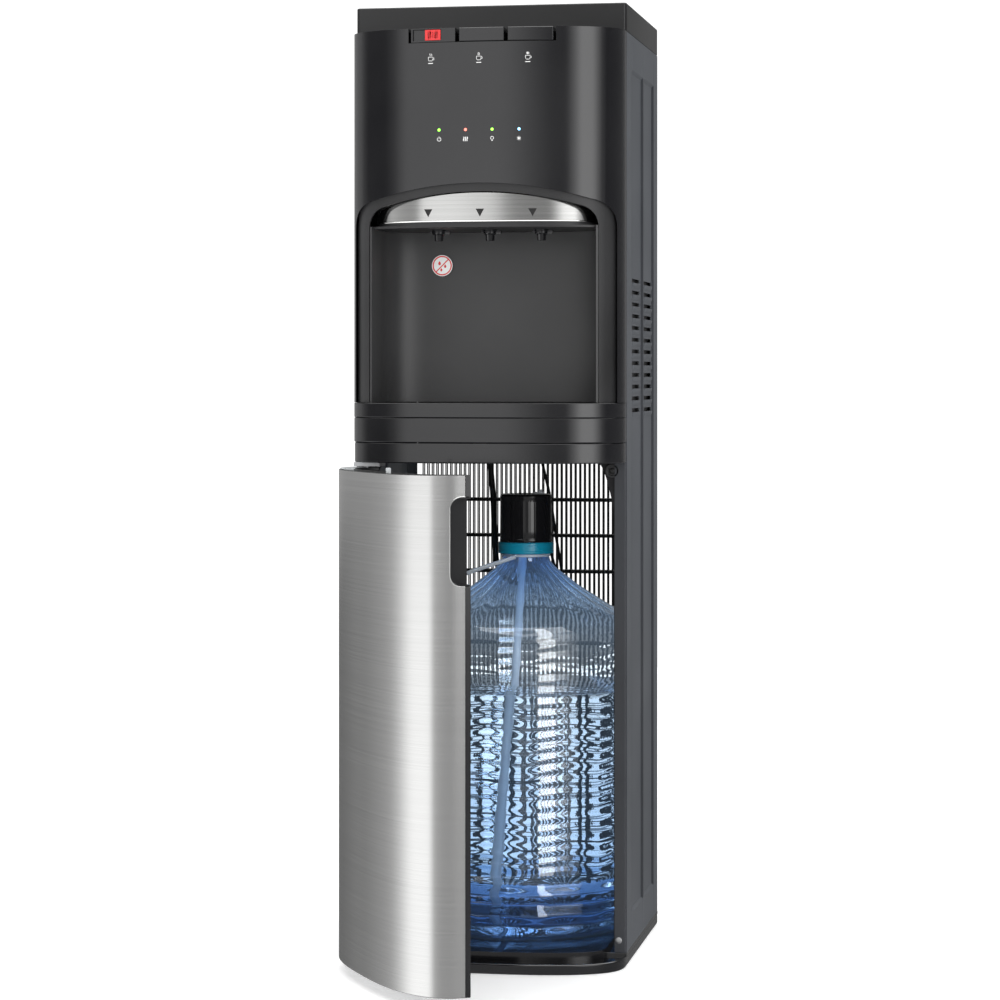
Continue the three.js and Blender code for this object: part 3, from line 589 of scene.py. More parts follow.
frame_piece = ring("frame_strip", 3.3, 4, fascia_z[0], 850)
inside = dict(half=ARCH["half"] - 0.3, spring=ARCH["spring"] + 2, top=ARCH["top"] + 2, corner=ARCH["corner"])
cut(frame_piece, prism("cutter", arch(inside, 600), NOSE - 5, FRONT + 5, "y"), operation="INTERSECT")
cut(frame_piece, prism("cutter", arch(MOUTH, 590), NOSE - 5, FRONT + 5, "y"))
done(frame_piece, SATIN, "cabinet", ("alcove_frame",), bevel=0.8, steps=2, sharp=40)


# ---- alcove
def recess(inset):
    half = MOUTH["half"] - 0.4 - inset
    back = LINER_BACK - inset
    mouth_y = face_y(half, 4.2)
    points = [(-half, mouth_y)]
    for a in np.linspace(pi, 0, 72):
        c, s = cos(a), sin(a)
        points.append((half * copysign(abs(c) ** 0.55, c), back - 62 * (1 - abs(s) ** 0.55)))
    points.append((half, mouth_y))
    return points


liner = prism("liner", recess(0) + recess(2.5)[::-1], fascia_z[0], 802)
done(liner, LINING, "cabinet", ("alcove_liner",), bevel=0.4, sharp=50)
roof = recess(2.6) + [p for p in front(8)[::-1] if abs(p[0]) < 122]
ceiling = prism("alcove_roof", roof, 799.5, 802)
cut(ceiling, *[lathe("cutter", [(8, 795), (8, 806)], (x, TAP_Y), 32) for x in TAPS])
done(ceiling, SATIN, "cabinet", (), bevel=0.3, sharp=50)


def steel_bow(inset, rear=-140.0):
    half, depth = STEEL_BOW["half"] - inset, STEEL_BOW["depth"] - inset
    return [p for p in bow(half, depth, STEEL_BOW["power"], 120) if p[1] < rear]


brow = prism("spout_housing", steel_bow(1.2) + steel_bow(3.7)[::-1], 799.5, 834)
done(brow, SATIN, "cabinet", (), bevel=0.7, steps=3, sharp=50)

under = dict(half=125, spring=819, top=837, corner=22)
outline = steel_bow(0)
verts, faces = [], []
n = 11
for x, y in outline:
    high = max(BAND_LOW + 3, min(BAND_HIGH, arch_height(under, x)))
    verts += [(x, y, BAND_LOW + (high - BAND_LOW) * k / (n - 1)) for k in range(n)]
for i in range(len(outline) - 1):
    faces += [(i * n + k, (i + 1) * n + k, (i + 1) * n + k + 1, i * n + k + 1) for k in range(n - 1)]
steel = raw("steel_band", verts, faces)
if steel.data.polygons[len(faces) // 2].normal.y > 0:
    steel.data.flip_normals()
thickened(steel, 0.9)
done(steel, BAND, "cabinet", ("spout_band",), bevel=0.25, sharp=50)
hem = pipe("steel_band_hem", [(x, y + 0.5, BAND_LOW + 0.6) for x, y in outline], 0.9, 10)
done(hem, BAND, "cabinet", ())

marks = []
for x in TAPS:
    rows = 12
    verts, faces = [], []
    for k in range(rows + 1):
        z = 819.5 - 8.5 * k / rows
        w = 4.6 * (1 - k / rows)
        for px in (x - w, x - w / 3, x + w / 3, x + w):
            verts.append((px, face_y(px, **STEEL_BOW) - 0.12, z))
    for k in range(rows):
        faces += [(4 * k + c, 4 * k + c + 1, 4 * k + c + 5, 4 * k + c + 4) for c in range(3)]
    marks.append(raw(f"mark{x}", verts, faces))
done(merged("tap_marks", marks), BLACK_INK, "cabinet")

for name, x in zip(("hot", "room", "cold"), TAPS):
    profile = [(0, 803.5), (7.6, 803.5), (7.6, 795.8), (6.9, 794.6), (5.6, 794.2), (5.1, 793.2), (4.8, 788.3),
               (4.4, 787.5), (2.8, 787.5), (2.6, 788.5), (2.6, 799), (0, 799)]
    body = lathe(f"tap_{name}", profile, (x, TAP_Y), 48)
    lug = block("lug", (x + 5, x + 12.5), (TAP_Y - 2.5, TAP_Y + 2.5), (794.8, 798.8))
    fin = block("fin", (x - 9.5, x - 5), (TAP_Y - 1.6, TAP_Y + 1.6), (796.0, 801.0))
    cut(body, lug, fin, operation="UNION")
    done(body, GLOSS, "cabinet", (f"spout_{name}",), bevel=0.35, sharp=28)

sticker_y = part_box("hot_water_sticker")[0].y / MM
sx, sz = -65, 763
profile = [(0, 0.3), (11.7, 0.3), (11.7, 0.05), (11.5, 0), (0, 0)]
disc = lathe("label_disc", [(r, sticker_y + h) for r, h in profile], (sx, sz), 72, "y")
done(disc, WHITE, "cabinet", ("hot_water_sticker",))
t = sticker_y - 0.05
front_t, back_t = t - 0.05, t + 0.1
profile = [(10.9, back_t), (10.9, front_t), (9.5, front_t), (9.5, back_t), (10.9, back_t)]
circle = lathe("print", profile, (sx, sz), 72, "y")
d = 0.70710678
corners = ((-10, -0.6), (10, -0.6), (10, 0.6), (-10, 0.6))
bar = prism("print", [(sx + a * d - b * d, sz + a * d + b * d) for a, b in corners], front_t, back_t, "y")
drops = []
for dx, dz, size in ((-3.0, 2.6, 1.5), (3.4, -0.6, 1.3), (-1.0, -4.6, 1.2)):
    drop_line = []
    for a in np.linspace(0, 2 * pi, 21)[:-1]:
        taper = 1 - 0.5 * (cos(a) > 0) * cos(a)
        drop_line.append((sx + dx + size * sin(a) * taper, sz + dz + 1.5 * size * cos(a)))
    drops.append(prism("print", drop_line, front_t, back_t, "y"))
done(merged("label_print", [circle, bar, *drops]), RED_INK, "cabinet")


# ---- buttons, lock, lights and printed signs
def key(name, node, body, middle, lock=False):
    z0, z1 = span(node)
    x0, x1 = middle - 24.5, middle + 24.5
    xs = np.linspace(x0, x1, 26)
    outline = [(x, face_y(x, 0.4)) for x in xs] + [(x1, NOSE + 24), (x0, NOSE + 24)]
    piece = prism(name, outline, z0, z1)
    if lock:
        cut(piece, block("cutter", (-73.1, -41.5), (NOSE - 5, NOSE + 7.5), (z0 + 1.6, z1 - 1.0)))
    done(piece, GLOSS, body, (node,), bevel=0.9, steps=3, sharp=40)


key("key_hot", "button_hot", "hot_button", KEYS_X - KEY_PITCH, True)
key("key_room", "button_room", "room_button", KEYS_X)
key("key_cold", "button_cold", "cold_button", KEYS_X + KEY_PITCH)
lock_z = span("child_lock_slider")
xs = np.linspace(-59.5, -42.1, 20)
lock_line = [(x, face_y(x, 0.9)) for x in xs] + [(-42.1, NOSE + 7.1), (-59.5, NOSE + 7.1)]
lock = prism("lock_slider", lock_line, *lock_z)
groove_z = (lock_z[0] + 2.4, lock_z[1] - 2.4)
cut(lock, *[block("cutter", (x - 0.7, x + 0.7), (NOSE - 5, face_y(x, 0.9) + 1.1), groove_z)
            for x in (-55.8, -53.3, -50.8, -48.3, -45.8)])
done(lock, RED, "child_lock", ("child_lock_slider",), bevel=0.3, sharp=40)

GREEN = (0.25, 0.95, 0.06)
LEDS = (("power", -43.5, GREEN), ("heating", -14.5, (1.0, 0.16, 0.12)), ("light", 14.5, GREEN),
        ("cooling", 43.5, (0.25, 0.62, 1.0)))
for name, x, colour in LEDS:
    y = face_y(x)
    profile = [(0, -0.35), (0.8, -0.3), (1.5, -0.05), (1.95, 0.5), (2.0, 4), (0, 4)]
    dome = lathe(f"lens_{name}", [(r, y + h) for r, h in profile], (x, LED_Z), 32, "y")
    done(dome, glowing(f"glow_{name}", colour, 2.6), "cabinet", (f"led_{name}",))


def drawn(name, strokes, cx, cz, width):
    """Printed line work: each stroke is a flat strip that lies on the bowed face."""
    pieces = []
    for stroke in strokes:
        p = np.array(stroke, float)
        step = np.gradient(p, axis=0)
        step /= np.maximum(np.linalg.norm(step, axis=1)[:, None], 1e-9)
        side = np.column_stack([-step[:, 1], step[:, 0]]) * width / 2
        verts = []
        for q, s in zip(p, side):
            for r in (q + s, q - s):
                verts.append((cx + r[0], face_y(cx + r[0]) - 0.08, cz + r[1]))
        faces = [(2 * i, 2 * i + 1, 2 * i + 3, 2 * i + 2) for i in range(len(p) - 1)]
        pieces.append(raw(name, verts, faces))
    return pieces


def arc(cx, cz, r, a0, a1, n=20):
    return [(cx + r * cos(a), cz + r * sin(a)) for a in np.radians(np.linspace(a0, a1, n))]


def star(cz, r, angles):
    """Strokes that cross at one point, as in a snowflake."""
    return [[(r * cos(a), cz + r * sin(a)), (-r * cos(a), cz - r * sin(a))] for a in angles]


def waves(xs, rise, start, end, n):
    return [[(x + 0.35 * sin(z * rise), z) for z in np.linspace(start, end, n)] for x in xs]


cup = [[(-2.6, 1.4), (-2.3, -1.6), (-1.6, -2.6), (1.6, -2.6), (2.3, -1.6), (2.6, 1.4), (-2.6, 1.4), (-2.55, 0.9)],
       arc(2.7, -0.4, 1.1, 80, -80, 10)]
steam = [[(x, 2.3 + z) for x, z in line] for line in waves((0.2 - 0.9, 0.2 + 0.9), 1.6, 0, 3.0, 12)]
drop = [[(0.0, 5.4), (0.9, 3.8), (0.6, 2.7), (-0.6, 2.7), (-0.9, 3.8), (0.0, 5.4), (0.3, 4.9)]]
word = [[(-2.7, -5.3), (2.7, -5.3)]]
signs = []
for x, extra in ((-KEY_PITCH, steam), (0, drop), (KEY_PITCH, star(3.9, 1.9, (0.5, 1.57, 2.62)))):
    signs += drawn("sign", cup + extra, x, KEY_SIGN_Z, 0.42)
    signs += drawn("sign", word, x, KEY_SIGN_Z, 0.7)
switch = [arc(0, 0, 2.0, 120, 420, 26), [(0, 0.4), (0, 2.9)]]
bulb = [arc(0, 0.7, 1.6, -60, 240, 24), [(-0.7, -1.4), (0.7, -1.4)], [(-0.7, -2.2), (0.7, -2.2)]]
heat, frost = waves((-1.9, 0, 1.9), 1.5, -2.3, 2.3, 14), star(0, 2.3, (0.52, 1.57, 2.62))
for (_, x, _), strokes, width in zip(LEDS, (switch, heat, bulb, frost), (0.5, 0.8, 0.55, 0.5)):
    signs += drawn("sign", strokes, x, LED_SIGN_Z, width)
done(merged("printed_signs", signs), WHITE, "cabinet")


# ---- tray and bands
def tray_rear(half, rear):
    return [(half, rear - 36), (half - 10, rear - 12), (half - 34, rear), (-half + 34, rear),
            (-half + 10, rear - 12), (-half, rear - 36)]


def tray_outline():
    half, rear = 118, LINER_BACK - 6
    points = [p for p in bow(HALF, BOW + 0.8) if p[1] < FRONT - 2.2]
    return [(-HALF, FRONT - 2), *points, (HALF, FRONT - 2), (half, FRONT - 2), *tray_rear(half, rear),
            (-half, FRONT - 2)]


def tray_pocket(inset):
    half, rear = 118 - inset, LINER_BACK - 6 - inset
    return [*bow(half, BOW + 0.8 - inset, POWER, 70), *tray_rear(half, rear)]


tray_z = span("drip_tray")
tray = prism("tray", tray_outline(), *tray_z)
cut(tray, prism("cutter", tray_pocket(4), tray_z[0] + 2.4, 640))
cut(tray, prism("cutter", tray_pocket(2.5), tray_z[1] - 2.6, 640))
done(tray, GLOSS, "tray", ("drip_tray",), bevel=0.9, steps=3, sharp=40)

upper_z, lower_z = span("band_upper"), span("band_lower")
upper = ring("upper_band", 0, 3, *upper_z)
done(upper, GLOSS, "cabinet", ("band_upper",), bevel=1.1, steps=3, sharp=40)
deck = [(-122, LINER_BACK - 3), (-122, FRONT), *[p for p in front(3.1) if abs(p[0]) < 146.5], (122, FRONT),
        (122, LINER_BACK - 3)]
done(prism("band_deck", deck, upper_z[1] - 2.5, upper_z[1] - 0.1), SATIN, "cabinet", (), bevel=0.3)
lower = ring("lower_band", 0.6, 3, *lower_z, rear=FRONT - 0.6)
done(lower, GLOSS, "cabinet", ("band_lower",), bevel=1.3, steps=3, sharp=40)

# ---- base, posts, catch and screws
lip = prism("base_lip", [(-HALF, BACK), *front(0), (HALF, BACK)], 0, 11.5)
done(lip, GLOSS, "cabinet", ("base_pan",), bevel=2.2, steps=4, sharp=40)
sill = block("base_sill", (-HALF, HALF), (FRONT + 0.3, BACK), (10.5, 14.7))
done(sill, GLOSS, "cabinet", (), bevel=0.6)
floor_plate = prism("base_floor", [(-128, 108), *front(22), (128, 108)], 10.5, 20)
cut(floor_plate, lathe("cutter", [(15, 5), (15, 30)], PIVOT, 48))
done(floor_plate, GLOSS, "cabinet", (), bevel=3.0, steps=4, sharp=40)
seat = lathe("bottle_seat", [(78, 19.9), (78, 20.15), (66, 20.15), (66, 19.9), (78, 19.9)], BOTTLE, 96)
done(seat, SATIN, "cabinet", ())

for side, node in ((1, "front_post_right"), (-1, "front_post_left")):
    z0, z1 = span(node)
    y0 = FRONT + 3
    curve = [(side * (118 + 18 * t ** 0.55), 545.6 - 54 * t) for t in np.linspace(0, 1, 20)]
    plate = [(side * 148.4, z0), (side * 136, z0), *curve[::-1], (side * 148.4, 545.6)]
    face = prism(f"post_{'right' if side > 0 else 'left'}", plate, y0, y0 + 1.2, "y")
    web = block("web", sorted((side * 147.3, side * 148.5)), (y0, -119), (z0, z1))
    edge = block("edge", sorted((side * 136, side * 137.2)), (y0, y0 + 6), (z0, 490))
    cut(face, web, edge, operation="UNION")
    done(face, INSIDE, "cabinet", (node,), bevel=0.35, sharp=40)


def cross_screw(name, x, z, y, r, metal, away=-1):
    """A pan-head screw with a cross recess; away is the way its head faces along y."""
    profile = ((0, 1.6), (r * 0.45, 1.5), (r * 0.8, 1.1), (r, 0.2), (r, 0), (0, 0))
    head = lathe(name, [(w, y + away * out) for w, out in profile], (x, z), 40, "y")
    a, b = sorted((y + away * 0.7, y + away * 3))
    cut(head, block("cutter", (x - r * 0.5, x + r * 0.5), (a, b), (z - r * 0.11, z + r * 0.11)),
        block("cutter", (x - r * 0.11, x + r * 0.11), (a, b), (z - r * 0.5, z + r * 0.5)))
    done(head, metal, "cabinet")


profile = [(0, -129.2), (4.4, -129.2), (4.9, -130.6), (5.6, -131.0), (7.0, -131.0), (7.5, -130.4), (7.5, -128.4),
           (0, -128.4)]
boss = lathe("catch_ring", profile, (134, 537), 56, "y")
done(boss, SATIN, "cabinet", ("catch_boss",), sharp=40)
cross_screw("catch_screw", 134, 537, -129.2, 3.4, ENAMEL)
cross_screw("post_screw", 141.5, 28, -131.05, 3.4, ZINC, away=-0.33)
REAR_SCREWS = ((-128, 1000), (0, 1000), (128, 1000), (-128, 700), (128, 700), (-128, 560), (128, 560))
for i, (x, z) in enumerate(REAR_SCREWS):
    cross_screw(f"rear_screw_{i}", x, z, BACK - 0.9, 3.0, ZINC, away=0.5)
ribs = [prism("rib", [(x - 6, 130.0), (x - 4.5, 130.95), (x + 4.5, 130.95), (x + 6, 130.0)], 640, 985)
        for x in (-70, 0, 70)]
done(merged("rear_ribs", ribs), PAINT, "cabinet", ())

shelf_low, shelf_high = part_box("tank_shelf")
shelf = block("tank_deck", (-146.4, 146.4), (shelf_low.y / MM, shelf_high.y / MM),
              (shelf_low.z / MM, shelf_high.z / MM))
done(shelf, ZINC, "cabinet", ("tank_shelf",), bevel=0.2)

# ---- condenser
for node, y in (("condenser_wires_front", 113.4), ("condenser_wires_back", 122.9)):
    places = [(i - 23) * 5.5 for i in range(47)]
    rods = [pipe("rod", [(x, y, 50.8), (x, y, 540.2)], 0.8, 8) for x in places]
    done(merged(f"{node}_rods", rods), ENAMEL, "cabinet", (node,), sharp=60)
turns, half_pitch = [], 41.9 / 2
for i in range(11):
    side = -1 if i % 2 else 1
    z = 495 - i * 41.9
    turns += [(-side * 118 + side * 236 * t, 118.6, z) for t in np.linspace(0, 1, 12)]
    if i < 10:
        turns += [(side * (118 + 11 * cos(a)), 118.6, z - half_pitch + half_pitch * sin(a))
                  for a in np.radians(np.linspace(78, -78, 12))]
done(pipe("condenser_tube", turns, 2.3, 12), ENAMEL, "cabinet", ("condenser_coil",), sharp=60)


# ---- bottle
def body_radius(h):
    keys = [(20.3, 96), (22, 111), (28, 119), (36, 123.5), (44.3, 126), (352, 126), (362, 123.5), (370, 117),
            (380, 98), (392, 79), (404, 60), (414, 47), (424, 34), (431, 28), (438, 25.6), (497, 25.6)]
    return float(np.interp(h, [k[0] for k in keys], [k[1] for k in keys]))


def wall_wave(offset):
    """The bottle's wall, drawn in by an offset: zigzag ribs, foot rings, shoulder flutes and scallops."""
    def wave(angle, r, h):
        smooth = (body_radius(h - 4) + 2 * body_radius(h) + body_radius(h + 4)) / 4 if 40 < h < 436 else r
        base = np.full_like(angle, min(r, smooth) if h > 40 else r)
        saw = np.abs(((angle * 9 / pi) % 2) - 1)
        if 96 < h < 372:
            fade = min(1, (h - 96) / 10, (372 - h) / 14)
            drift = 0.10 * np.sin(3 * angle + h / 29) + 0.07 * np.sin(8 * angle - h / 19)
            base = base - fade * 0.95 * (0.5 - 0.5 * np.cos(2 * pi * (h / 12.4 + 0.30 * saw + drift)))
            base = base - fade * 0.2 * (np.abs(np.sin(angle * 9)) ** 6)
        elif 30 < h <= 96:
            step = 0.5 - 0.5 * cos(2 * pi * (h - 30) / 22)
            base = base - 4.5 * step * (0.75 + 0.25 * np.cos(angle * 12))
        if 366 < h < 434:
            fade = sin(pi * (h - 366) / 68)
            base = base - fade * (1.2 + 1.2 * np.cos(angle * 26))
        if h < 70:
            base = base - (70 - h) / 50 * 3.2 * (0.5 + 0.5 * np.cos(angle * 12)) * (r > 80)
        return base - offset
    return wave


SIDES = 252
heights = [*np.linspace(22, 96, 40), *np.linspace(97.5, 372, 180), *np.linspace(374, 436, 36), 440, 452, 470, 497]
foot = [(0, 30), (40, 30), (62, 29), (72, 26), (80, 21.6), (88, 20.3), (96, 20.3)]
wave_out, wave_wet = wall_wave(0.0), wall_wave(1.9)


def skin_wave(angle, r, h):
    plain_turned = r < 25 or h > 440 or (r < 96.5 and h < 31)
    return np.full_like(angle, r) if plain_turned else wave_out(angle, r, h)


def fill_wave(angle, r, h):
    plain_turned = (r < 96 and h < 34) or r == 121.5
    return np.full_like(angle, r) if plain_turned else wave_wet(angle, r, h)


skin_profile = [*foot, *((body_radius(h), h) for h in heights), (24.2, 497)]
skin = lathe("bottle_skin", skin_profile, BOTTLE, SIDES, wave=skin_wave)
# The cap that closes the neck goes, so that the wall's thickness opens onto the rim.
work = bmesh.new()
work.from_mesh(skin.data)
for face in [f for f in work.faces if len(f.verts) > 4]:
    work.faces.remove(face)
work.to_mesh(skin.data)
work.free()
thickened(skin, 1.1)
done(skin, PET, "bottle", ("bottle_shell",), sharp=70)

wet = [h for h in heights if 24 < h < WATER_Z - 1]
water_profile = [(0, 32.5), (40, 32.5), (64, 31.5), (75, 27), (82, 24.6), (90, 23.4),
                 *((body_radius(h), h) for h in wet),
                 (body_radius(WATER_Z), WATER_Z - 0.6), (121.5, WATER_Z), (0, WATER_Z - 0.4)]
water = lathe("bottle_fill", water_profile, BOTTLE, SIDES, wave=fill_wave)
done(water, WATER, "bottle", ("bottle_water",), sharp=70)

tube_line = [np.array((19, -14, 493.0)) + t * np.array((-28.6, 0, -457.0)) for t in np.linspace(0, 1, 60)]
tube = pipe("probe_pipe", tube_line, [4.6 + 0.5 * cos(i * 1.4) for i in range(60)], 20)
done(tube, TUBING, "bottle", ("probe_tube",), sharp=60)

cap_z, ring_z = span("probe_cap"), span("cap_ring")


def knurl(angle, r, h):
    ridged = 27 < r < 30 and cap_z[0] + 4 < h < cap_z[1] - 6
    return r - 0.14 * (0.5 + 0.5 * np.cos(angle * 60)) if ridged else np.full_like(angle, r)


skirt = [(26.4, 0), (29.2, 0), (29.6, 0.8), (29.5, 3), (29.3, 3.6), (29.3, 4.4)]
skirt += [(29.4 - 0.3 * t, 5 + 40 * t) for t in np.linspace(0, 1, 6)]
crown = [(28.9, 6.6), (29.3, 5.6), (29.3, 2.4), (28.2, 0.6), (26.6, 0), (12, 0), (11.4, 1.2), (0, 1.2)]
profile = [(r, cap_z[0] + h) for r, h in skirt] + [(r, cap_z[1] - h) for r, h in crown]
cap = lathe("cap", profile, BOTTLE, 180, wave=knurl)
cap_ports = [lathe("port", [(0, y0), (r, y0), (r, y1), (r * 0.8, y1), (0, y1)], (x, z), 24, "y")
             for x, z, r, y0, y1 in ((19, 484, 3.2, 11, 21.6), (33.5, 474, 2.6, 9, 16.6))]
done(merged("probe_cap_body", [cap, *cap_ports]), GLOSS, "bottle", ("probe_cap",), sharp=30)
lower_half = [(26.3, 0), (30.8, 0), (31.5, 0.8), (31.6, 3), (31.2, 3.6)]
upper_half = [(31.2, 3.4), (31.6, 2.8), (31.4, 1), (30.4, 0), (26.3, 0)]
profile = [(r, ring_z[0] + h) for r, h in lower_half] + [(r, ring_z[1] - h) for r, h in upper_half]
band = lathe("seal_ring", profile, BOTTLE, 120)
done(band, TEAL, "bottle", ("cap_ring",), sharp=30)
profile = [(0, 507.3), (3.2, 507.3), (3.2, 509), (2.4, 509.6), (2.4, 511.4), (1.8, 512), (0, 512)]
fitting = lathe("cap_nipple", profile, (36, -16), 32)
cut(fitting, block("flange", (28, 40), (-19, -13), (507.3, 509.2)), operation="UNION")
done(fitting, MILKY, "bottle", ("cap_fitting",), bevel=0.3)
profile = [(26.0, 436.8), (27.2, 436.8), (27.4, 437.2), (27.4, 439.4), (27.2, 439.8), (26.0, 439.8), (26.0, 436.8)]
collar = lathe("collar", profile, BOTTLE, 72)
loop = [(12, -42, 437.2), (-22, -43, 426), (-56, -30, 414), (-68, -14, 410), (-56, 2, 414), (-22, 14, 426),
        (12, 14, 437.2)]
strap = pipe("strap", through(loop, 10), 2.3, 12)
done(merged("carry_strap", [collar, strap]), MILKY, "bottle", ("neck_handle",), sharp=40)

# ---- door, drawn shut; done() swings what rides on it
door_z, skin_z = (span("door_bottom_cap")[0], span("door_liner")[1] + 4.3), span("door_skin")
SKIN_END = FRONT - 6.5


def corner_trim():
    px, py = PIVOT
    cutter = prism("cutter", [(px - 30, py), (px, py), (px, py + 30), (px - 30, py + 30)], -5, 605)
    return cut(cutter, lathe("cutter", [(12.9, -8), (12.9, 608)], PIVOT, 96))


def notch_line(shrink, rear):
    """The handle's outline in side view, open to the rear, with two round corners."""
    low, high = 427 + shrink, 518 - shrink
    r, y = 12 - shrink, -153 + shrink
    return [(rear, low), *arc(y + r, low + r, r, -90, -180, 10), *arc(y + r, high - r, r, 180, 90, 10),
            (rear, high)]


def notch(name, shrink, x0, x1):
    return prism(name, notch_line(shrink, -110), x0, x1, "x")


def door_ring(name, inset, depth, z0, z1):
    piece = ring(name, inset, depth - inset, z0, z1, rear=FRONT - 0.6)
    return cut(piece, corner_trim())


def trimmed(points):
    return [p for p in points if (p[0] > 0 and p[1] < SKIN_END) or (p[0] <= 0 and p[1] < PIVOT[1])]


sheet = prism("door_sheet", trimmed(front(0.6)) + trimmed(front(1.6))[::-1], *skin_z)
cut(sheet, notch("cutter", 0, 100, 170))
done(sheet, STEEL, "door", ("door_skin",), bevel=0.3, sharp=50)

core = door_ring("door_core", 1.8, 19, *span("door_liner"))
cut(core, notch("cutter", 0, 133, 170))
pins = [lathe("cutter", [(3.3, 0), (3.3, 28)], PIVOT, 32), lathe("cutter", [(3.3, 524), (3.3, 560)], PIVOT, 32)]
cut(core, *pins)
done(core, SATIN, "door", ("door_liner",), bevel=0.6, sharp=40)
edge_line = [(149.35, SKIN_END + 0.2), (149.3, FRONT - 0.7), (146.5, FRONT - 0.7), (146.5, SKIN_END + 0.2)]
edge_r = prism("door_edge", edge_line, *skin_z)
cut(edge_r, notch("cutter", 0, 133, 170))
done(edge_r, GLOSS, "door", (), bevel=0.4, sharp=40)

door_body = prism("cutter", [(-HALF, -110), *front(1.0), (HALF, -110)], 400, 540)
cup_piece = cut(notch("handle_cup", 0.3, 133.3, 170), door_body, operation="INTERSECT")
cut(cup_piece, notch("cutter", 2.1, 138, 175), block("cutter", (0, 200), (FRONT - 0.6, 0), (400, 540)))
done(cup_piece, INSIDE, "door", ("door_handle_cup",), bevel=0.5, sharp=40)

rim = [(149.1 * (1 - ((FRONT - y) / 67.1) ** POWER) ** (1 / POWER), y, z) for y, z in notch_line(0, -137.8)]
done(pipe("handle_rim", rim, 0.6, 10), STEEL, "door")

top_ring = door_ring("door_top", 1.8, 19, span("door_top_cap")[0], door_z[1])
channel = [p for p in front(3.4) if p[1] < -150] + [p for p in front(16.2) if p[1] < -150][::-1]
pocket = prism("cutter", channel, door_z[1] - 2.4, 560)
cut(top_ring, pocket, lathe("cutter", [(3.3, 500), (3.3, 560)], PIVOT, 32))
done(top_ring, SATIN, "door", ("door_top_cap",), bevel=0.4, sharp=40)
tongue = block("latch_tongue", (56, 62), (-190, -186), (door_z[1] - 3, 545.4))
done(tongue, GREY, "door", (), bevel=0.8, steps=3)
hinge_cover = [p for p in front(2.2) if p[0] < -88 and p[1] < -147]
hinge_cover += [p for p in front(17.4) if p[0] < -84 and p[1] < -147][::-1]
hinge_piece = prism("hinge_cover", hinge_cover, door_z[1] - 2.6, door_z[1] + 0.6)
cut(hinge_piece, lathe("cutter", [(4.2, 500), (4.2, 560)], PIVOT, 32))
done(hinge_piece, GREY, "door", (), bevel=0.5)
bottom_ring = door_ring("door_bottom", 1.8, 19, *span("door_bottom_cap"))
cut(bottom_ring, lathe("cutter", [(3.3, 0), (3.3, 28)], PIVOT, 32))
done(bottom_ring, SATIN, "door", ("door_bottom_cap",), bevel=0.4, sharp=40)

# ---- CAD nodes that stay, with a finish of their own
KEPT = {"line_hot": SILICONE, "line_room": SILICONE, "line_cold": SILICONE, "control_board": BOARD,
        "drip_grid": SATIN, "mid_shelf": INSIDE, "rear_panel": PAINT, "power_inlet": SATIN,
        "compressor": ENAMEL, "pump": GREY,
        "hot_tank": BAND, "cold_tank": BAND, "cold_tank_jacket": FOAM, "hinge_pin_top": ZINC,
        "hinge_pin_bottom": ZINC, "hinge_bracket_top": ZINC}
ROUND = ("line_hot", "line_room", "line_cold", "compressor", "hot_tank", "cold_tank", "cold_tank_jacket")
for node, finish in KEPT.items():
    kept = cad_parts[node]
    kept.data.materials.clear()
    kept.data.materials.append(finish)
    if node in ROUND:
        kept.data.shade_smooth()
        kept.data.set_sharp_from_angle(angle=radians(40))

# ---- floor, world and lights
floor_mesh = bpy.data.meshes.new("floor")
work = bmesh.new()
bmesh.ops.create_circle(work, cap_ends=True, radius=3.2, segments=96)
work.to_mesh(floor_mesh)
work.free()
floor = placed("floor", floor_mesh)
floor_mesh.materials.append(surface(
    "floor_white", (0.88, 0.88, 0.88), (0.9, 0.9, 0.9), (0.6, 0.7), (200, 0.02, 0.0001),
    Emission_Color=(1, 1, 1, 1), Emission_Strength=0.3))
floor.visible_glossy = False
floor.visible_shadow = False

world = bpy.data.worlds.new("studio")
bpy.context.scene.world = world
world.use_nodes = True
sky = world.node_tree
plain = sky.nodes["Background"]
fill(sky, plain, {"Color": (1, 1, 1, 1), "Strength": 1.2})
ray = add(sky, "LightPath", {}).outputs
toward = split(sky, "Generated")
up = toward["Z"]
turned = figured(sky, "ARCTAN2", toward["X"], figured(sky, "MULTIPLY", toward["Y"], -1.0))
compass = remap(sky, turned, -pi, pi)
BRIGHTEST, OVERHEAD, SPARKLE = 5.0, 4.5, 11.0


def around(stops):
    """The studio walls' brightness, from (degrees to the right of the front, radiance) pairs."""
    return ramp(sky, compass, *[((degrees + 180) / 360, [light / BRIGHTEST] * 3) for degrees, light in stops])


def blended(fac, low, high):
    return add(sky, "Mix", {"Factor": fac, "A": low, "B": high}).outputs["Result"]


def between(value, start, end, soft):
    """1 from start to end and 0 outside, with a soft edge at each."""
    rise, fall = remap(sky, value, start, start + soft), remap(sky, value, end, end + soft, 1, 0)
    return figured(sky, "MULTIPLY", rise, fall)


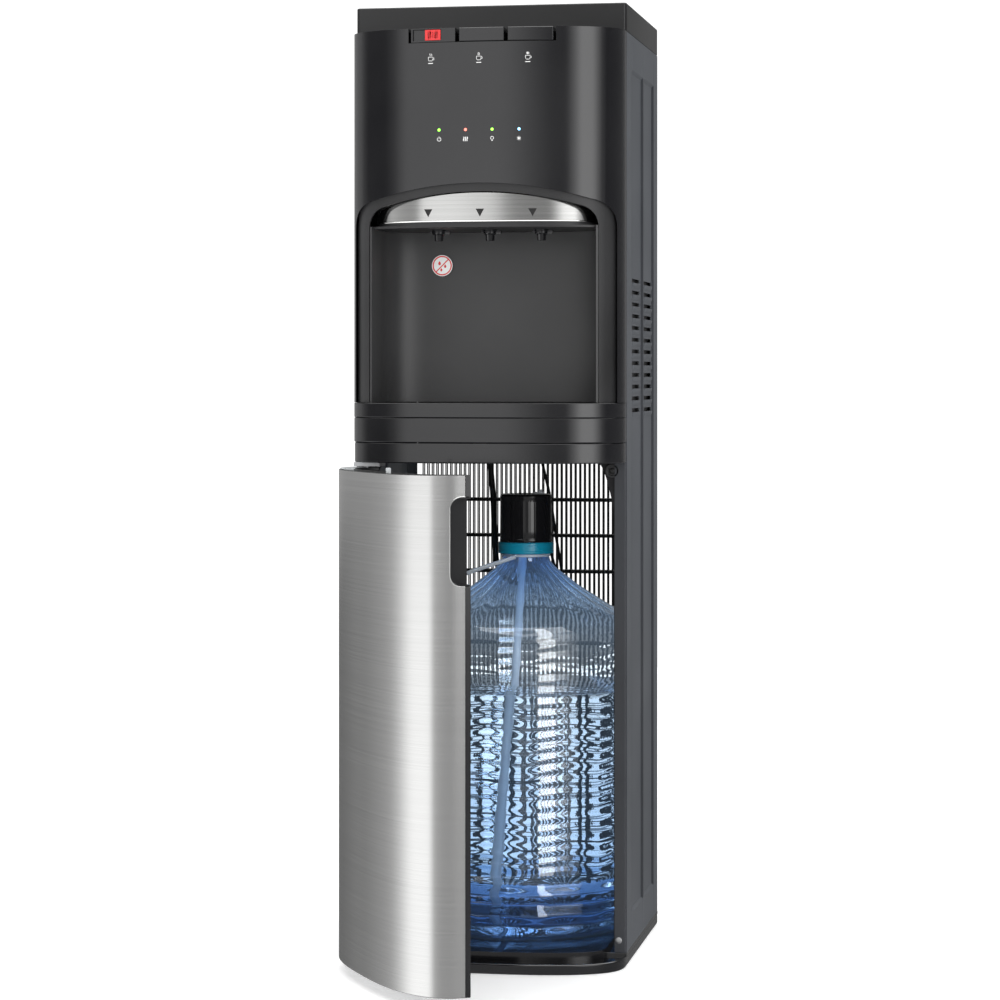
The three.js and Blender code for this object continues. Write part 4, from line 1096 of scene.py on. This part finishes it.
HIGH_WALL = ((-180, 0.3), (-100, 0.8), (-78, 0.15), (-50, 0.12), (-42, 0.5), (-33, 1.8), (-8, 1.9),
             (2, 0.9), (10, 0.4), (20, 0.3), (27, 2.2), (33, 4.2), (47, 4.0), (54, 2.4),
             (64, 0.6), (74, 0.08), (150, 0.2), (180, 0.3))
LOW_WALL = ((-180, 0.2), (-155, 0.16), (-134, 0.23), (-122, 0.43), (-111, 0.52), (-105, 0.7), (-97, 1.1),
            (-89, 1.6), (-80, 1.95), (-45, 1.95), (-33, 0.7), (-14, 0.52), (47, 0.52), (75, 0.3),
            (150, 0.2), (180, 0.2))
UPPER_WALL = ((-180, 0.2), (-103, 0.3), (-73, 0.82), (-56, 0.6), (-40, 0.42), (-35, 0.45), (-31, 1.3),
              (-10.5, 1.3), (-8.5, 0.4), (-5, 0.32), (17, 0.32), (24, 0.8), (32, 1.5), (52, 1.7),
              (62, 0.9), (75, 0.3), (98, 0.1), (180, 0.2))
level = blended(remap(sky, up, -0.09, -0.06), around(LOW_WALL), around(HIGH_WALL))
level = blended(remap(sky, up, 0.22, 0.30), level, around(UPPER_WALL))
level = blended(remap(sky, up, 0.62, 0.72), level, OVERHEAD / BRIGHTEST)
# A tall bright strip that only mirror-smooth faces pick up: the water bottle's highlights.
gleam = between(turned, radians(23), radians(37), radians(1))
gleam = figured(sky, "MULTIPLY", gleam, between(up, -0.35, 0.78, 0.02))
gleam = figured(sky, "MULTIPLY", figured(sky, "MULTIPLY", gleam, ray["Is Singular Ray"]), SPARKLE)
seen = add(sky, "Background", {"Strength": figured(sky, "MULTIPLY_ADD", level, BRIGHTEST, gleam)})
mixer = add(sky, "MixShader", {0: ray["Is Glossy Ray"], 1: plain.outputs[0], 2: seen.outputs[0]})
fill(sky, sky.nodes["World Output"], {"Surface": mixer.outputs[0]})


def softbox(name, azimuth, distance, width, height, z, radiance):
    """A tall soft light standing round the object, azimuth in degrees to the right of its front."""
    data = bpy.data.lights.new(name, "AREA")
    data.shape = "RECTANGLE"
    data.size, data.size_y = width, height
    data.energy = radiance * pi * width * height
    light = placed(name, data)
    a = radians(azimuth)
    light.location = (distance * sin(a), -0.15 - distance * cos(a), z)
    light.rotation_euler = (pi / 2, 0, a)
    light.visible_camera = False
    light.visible_glossy = False


softbox("box_right", 41, 2.4, 1.25, 2.4, 0.8, 2.4)
softbox("box_left", -33, 2.6, 0.75, 2.2, 0.8, 1.3)
softbox("box_side_left", -105, 2.4, 1.4, 2.2, 0.8, 0.8)
softbox("box_side_right", 115, 2.6, 1.6, 2.2, 0.8, 1.1)

bpy.context.scene.view_settings.view_transform = "Standard"
